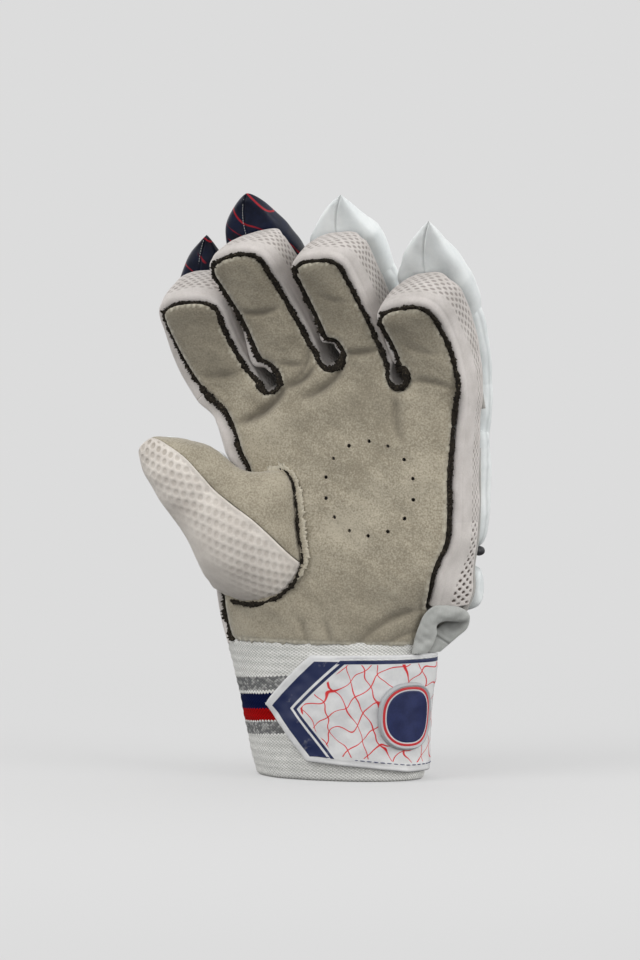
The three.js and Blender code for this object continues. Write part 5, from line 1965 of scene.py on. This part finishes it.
strap = make_strap()


def strap_row(inset, high_side, start, long, gap, thick):
    """A row of stitches along one of the strap's long edges."""
    arc = np.linspace(SHOULDER_ARCS[1] + start, STRAP_LONG - 3, 300)
    low, high = strap_edges(np.interp(arc, strap_arc, strap_angles))
    z = high - inset if high_side else low + inset
    line = strap_point(arc, z, GAP + STRAP - 0.05)
    up = strap_point(arc, z, GAP + STRAP + 1) - line
    bm = bmesh.new()
    stitch_row(bm, line, up, long=long, gap=gap, thick=thick)
    return bm


navy_thread = make_thread("navy_thread", rgb(30, 42, 92))
top_row = strap_row(inset=2.2, high_side=True, start=2, long=2.0, gap=1.5, thick=0.27)
strap_top_stitches = finish(top_row, "strap_top_stitches", thread)
low_row = strap_row(inset=3.6, high_side=False, start=-2, long=2.4, gap=1.0, thick=0.27)
strap_low_stitches = finish(low_row, "strap_low_stitches", navy_thread)

# %% [markdown]
# ## The badge and the side knob
#
# The badge is moulded rubber, a plain oval with a raised rim. A disc is made by spinning nothing more than
# a grid round its middle: each ring has its own height, which gives the rim, the groove and the domed
# field. The knob is a ball with a flattened foot.

# %% The badge
BADGE = dict(at=61.5, z=33.0, half_arc=14.0, half_high=17.0, deep=1.5)
BADGE_ARC = 36.0


def make_badge_finish():
    material, tree, shader = finish_shader("badge_rubber", 0.38)
    place = place_of(tree)
    share = mark_of(tree, "ring")
    tone = use(tree, mottle, place, Patch_mm=8.0, Speck_mm=0.8, Speck_share=0.3)["Tone"]
    colour = tint(tree, between(tree, tone, 0.3, 0.7), rgb(18, 28, 70), rgb(26, 39, 90))
    colour = tint(tree, between(tree, share, 0.755, 0.775), colour, rgb(206, 208, 210))
    colour = tint(tree, between(tree, share, 0.79, 0.81), colour, rgb(198, 38, 44))
    colour = tint(tree, between(tree, share, 0.865, 0.885), colour, rgb(176, 178, 180))
    tree.links.new(colour, shader.inputs["Base Color"])
    tree.links.new(between(tree, tone, 0.3, 0.7, 0.32, 0.46), shader.inputs["Roughness"])
    bump(tree, shader, tone, 0.25, 0.15)
    return material


badge_rubber = make_badge_finish()


def make_badge():
    bm, u, v = grid(112, 44)
    turn, ring = 2 * np.pi * u, v
    across, up = blunt(np.cos(turn), 0.82), blunt(np.sin(turn), 0.82)
    rim = hump(ring, 0.93, 0.045) * 0.55
    groove = -0.35 * hump(ring, 0.875, 0.02) - 0.2 * hump(ring, 0.78, 0.02)
    fall = -1.3 * ramp(ring, 0.955, 1.0)
    rise = BADGE["deep"] * 0.75 + 0.25 * (1 - ring**2) + rim + groove + fall
    angle = np.radians(BADGE["at"]) + BADGE["half_arc"] / BADGE_ARC * across * ring
    points = oval_point(angle, BADGE["z"] + BADGE["half_high"] * up * ring, 2 * GAP + STRAP + 0.35 + rise)
    move(bm, points)
    paint(bm, "ring", ring)
    bmesh.ops.remove_doubles(bm, verts=bm.verts, dist=0.01)
    bmesh.ops.recalc_face_normals(bm, faces=bm.faces)
    outward = oval_point(np.radians(BADGE["at"]), 30.0, 1.0) - oval_point(np.radians(BADGE["at"]), 30.0, 0.0)
    face_outwards(bm, outward)
    return finish(bm, "badge", badge_rubber, ["strap_badge"], thick=1.0)


make_badge()

# %% The side knob
STUD = dict(x=67.3, y=17.0, z=114.2, half=3.2, deep=4.3, high=2.5)


def make_dark_rubber():
    material, tree, shader = finish_shader("dark_rubber", 0.5)
    tone = use(tree, mottle, place_of(tree), Patch_mm=3.0, Speck_mm=0.4, Speck_share=0.4)["Tone"]
    colour = tint(tree, between(tree, tone, 0.3, 0.7), rgb(20, 20, 22), rgb(44, 44, 48))
    tree.links.new(colour, shader.inputs["Base Color"])
    bump(tree, shader, tone, 0.4, 0.2)
    return material


dark_rubber = make_dark_rubber()


def make_stud():
    bm = bmesh.new()
    bmesh.ops.create_uvsphere(bm, u_segments=40, v_segments=24, radius=1.0)
    co = np.array([v.co for v in bm.verts])
    waist = 1 - 0.18 * hump(co[:, 0], -0.25, 0.2)
    move(bm, stack(STUD["x"] + STUD["half"] * co[:, 0], STUD["y"] + STUD["deep"] * co[:, 2] * waist,
                   STUD["z"] + STUD["high"] * blunt(co[:, 1], 0.85) * waist))
    return finish(bm, "side_knob", dark_rubber, ["side_stud"])


make_stud()

# %% [markdown]
# ## The wrist opening's tape
#
# A soft leather tape runs up the palm's edge, over the end of the mesh, and down the back, which leaves a
# slit for the hand to pass. It is a flat tube along a smooth curve, with a crown across it, a seam across
# it, and painted shade under its turn at the slit and in the seam.

# %% The tape
TAPE_THICK = 1.6
TAPE_EDGES = np.array([
    (43.4, -13.4, 64.4, 50.6, -10.8, 64.6),
    (44.6, -13.6, 70.5, 53.2, -10.2, 68.5),
    (47.3, -14.2, 78, 55.2, -9.8, 74),
    (50.8, -14.6, 84.5, 55.3, -9.5, 78.5),
    (54.5, -13, 88, 57.2, -8, 80),
    (60.4, -8, 88.4, 60.3, -5, 80.2),
    (65, -2, 87, 62.4, -1, 79.8),
    (67.4, 4, 83, 62.2, 2.5, 79.6),
    (65.8, 6, 76.5, 57.6, 3.4, 80.0),
    (60.5, 5, 71.4, 52.4, 1.4, 77.0),
    (55.9, 3.5, 67.2, 48.6, -1, 72.0),
    (52.6, 2.5, 64.4, 47.2, -3, 64.4)])
TAPE_SEAM = 56.5
TAPE_SLIT = 46.0
TAPE_SLIT_WIDE = 5.5


def make_tape():
    edges = curve_through(TAPE_EDGES, 0.4)
    outer, inner = edges[:, :3], edges[:, 3:]
    middle_line = (outer + inner) / 2
    along = unit(np.gradient(middle_line, axis=0))
    wide = (inner - outer) / 2
    through = -unit(np.cross(along, wide))
    bm, u, v = grid(len(edges) - 1, 44)
    row = np.rint(u * (len(edges) - 1)).astype(int)
    turn = 2 * np.pi * v
    side, lift = blunt(np.cos(turn), 0.75), blunt(np.sin(turn), 0.6)
    crown = 0.9 * (1 - side**2) * np.maximum(0, lift)
    middle = middle_line[row]
    points = middle + wide[row] * tall(side) + through[row] * tall(TAPE_THICK / 2 * lift + crown)
    far = chord_of(middle_line)[row]
    soft = 0.35 * ripple(points, 9, 200) + 0.15 * ripple(points, 4, 201)
    seam = hump(far, TAPE_SEAM, 0.7)
    move(bm, points + through[row] * tall((soft - 0.7 * seam) * np.maximum(0, lift)))
    # Painted shade under the roof of the loop at the slit, and in the seam's groove.
    slit = hump(far, TAPE_SLIT, TAPE_SLIT_WIDE) * ramp(side, -0.9, 0.1)
    paint(bm, "painted_shade", np.clip(1.3 * slit + 0.8 * seam, 0, 1))
    bmesh.ops.remove_doubles(bm, verts=bm.verts, dist=0.01)
    bmesh.ops.recalc_face_normals(bm, faces=bm.faces)
    print("the tape is", round(float(chord_of(middle_line)[-1]), 1), "mm long")
    return finish(bm, "wrist_tape_band", tape_leather, ["wrist_tape"]), middle_line


tape, tape_line = make_tape()

# %% [markdown]
# The sizes come from measuring the sheets themselves and rounding to a maker's cutting list. Where a cut
# isn't a rectangle, its area is the modelled sheet's own, so comparing the two says little.


# %% [markdown]
# ## The studio
#
# The floor is a wide round bowl that curves up on every side, so that no line shows behind the glove from
# any direction. It is spun from one curved profile. Real studios light the paper on its own, so the paper
# glows a little and does not light the glove. The glove gets its light from a sky that is dark below the
# floor, which gives the soft shade under everything that faces down.

# %% Floor and backdrop
BOWL_FLAT = 3.4
BOWL_BEND = 0.8
BOWL_HIGH = 6.0


def make_paper():
    """The paper takes shadows near the glove, and further away it only glows."""
    material, tree, shader = finish_shader("studio_paper", 1.0)
    shader.inputs["Specular IOR Level"].default_value = 0.0
    split = axes(tree, place_of(tree))
    squares = [times(tree, split[axis], split[axis]) for axis in ("X", "Y", "Z")]
    far = maths(tree, "SQRT", maths(tree, "ADD", maths(tree, "ADD", squares[0], squares[1]), squares[2]))
    share = between(tree, far, 0.2, 0.7)
    tree.links.new(tint(tree, share, (0.4, 0.4, 0.4, 1), (0, 0, 0, 1)), shader.inputs["Base Color"])
    glow = tint(tree, share, (0.313, 0.313, 0.313, 1), (0.716, 0.716, 0.716, 1))
    tree.links.new(glow, shader.inputs["Emission Color"])
    shader.inputs["Emission Strength"].default_value = 1.0
    return material


def make_backdrop():
    bm = bmesh.new()
    turns = np.linspace(0, np.pi / 2, 13)
    reach = np.concatenate([np.linspace(0, BOWL_FLAT, 30), BOWL_FLAT + BOWL_BEND * np.sin(turns[1:])])
    high = np.concatenate([np.zeros(30), BOWL_BEND * (1 - np.cos(turns[1:]))])
    corners = zip(np.append(reach, reach[-1]), np.append(high, BOWL_HIGH))
    profile = [bm.verts.new((x, 0, z)) for x, z in corners]
    edges = [bm.edges.new(pair) for pair in zip(profile, profile[1:])]
    bmesh.ops.spin(bm, geom=profile + edges, cent=(0, 0, 0), axis=(0, 0, 1), angle=2 * np.pi, steps=96,
                   use_merge=True)
    bmesh.ops.remove_doubles(bm, verts=bm.verts, dist=1e-5)
    for face in bm.faces:
        face.smooth = True
        if face.normal.dot(Vector((0, 0, 3)) - face.calc_center_median()) < 0:
            face.normal_flip()
    mesh = bpy.data.meshes.new("studio_bowl")
    bm.to_mesh(mesh)
    bm.free()
    bowl = bpy.data.objects.new("studio_bowl", mesh)
    mesh.materials.append(make_paper())
    bpy.context.scene.collection.objects.link(bowl)
    bowl.visible_diffuse = False
    bowl.visible_glossy = False
    bowl.visible_shadow = False
    bowl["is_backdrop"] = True


make_backdrop()

# %% Camera
AZIMUTH = np.radians(22)
ELEVATION = np.radians(3)
DISTANCE = 2.4
right = np.array([np.cos(AZIMUTH), np.sin(AZIMUTH), 0])
away = np.array([-np.sin(AZIMUTH) * np.cos(ELEVATION), np.cos(AZIMUTH) * np.cos(ELEVATION),
                 -np.sin(ELEVATION)])
up = np.cross(right, away)
target = metres(right * -10.5 + up * 149 + away * -20)
lens = bpy.data.cameras.new("camera")
lens.lens = 180
lens.sensor_width = 36
lens.clip_end = 20
camera = bpy.data.objects.new("camera", lens)
camera.matrix_world = Matrix((
    (right[0], up[0], -away[0], 0),
    (right[1], up[1], -away[1], 0),
    (right[2], up[2], -away[2], 0),
    (0, 0, 0, 1)))
camera.location = Vector(target - away * DISTANCE)
bpy.context.scene.collection.objects.link(camera)
bpy.context.scene.camera = camera

# %% Lights
def soft_light(name, place, size, power):
    lamp = bpy.data.lights.new(name, "AREA")
    lamp.shape = "DISK"
    lamp.size = size
    lamp.energy = power
    made = bpy.data.objects.new(name, lamp)
    spot = Vector(place)
    made.location = spot
    made.rotation_euler = (Vector((0, 0, 0.13)) - spot).to_track_quat("-Z", "Y").to_euler()
    bpy.context.scene.collection.objects.link(made)


soft_light("key_light", (-0.9, -1.3, 1.5), 1.4, 11)
soft_light("right_light", (1.9, -0.3, 0.8), 1.3, 13)


def make_sky():
    """An even sky, brightest low down and dark below the horizon."""
    world = bpy.data.worlds.new("studio")
    world.use_nodes = True
    tree = world.node_tree
    direction = tree.nodes.new("ShaderNodeTexCoord").outputs["Generated"]
    height = axes(tree, direction)["Z"]
    above = tint(tree, between(tree, height, 0.15, 0.9), (1.25, 1.25, 1.25, 1), (0.62, 0.62, 0.62, 1))
    shade = tint(tree, between(tree, height, -0.08, 0.08), (0.2, 0.2, 0.2, 1), above)
    tree.links.new(shade, tree.nodes["Background"].inputs["Color"])
    tree.nodes["Background"].inputs["Strength"].default_value = 1.0
    return world


bpy.context.scene.world = make_sky()
bpy.context.scene.view_settings.view_transform = "Standard"

# %% [markdown]
# ## The end
#
# The two boxes show whether the finished glove stayed the size of the plain one.

# %% Sizes
visual_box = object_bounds()
for axis in range(3):
    beyond = [round((visual_box[end][axis] - cad_box[end][axis]) * 1000, 1) for end in (0, 1)]
    print("XYZ"[axis], beyond, "mm beyond")
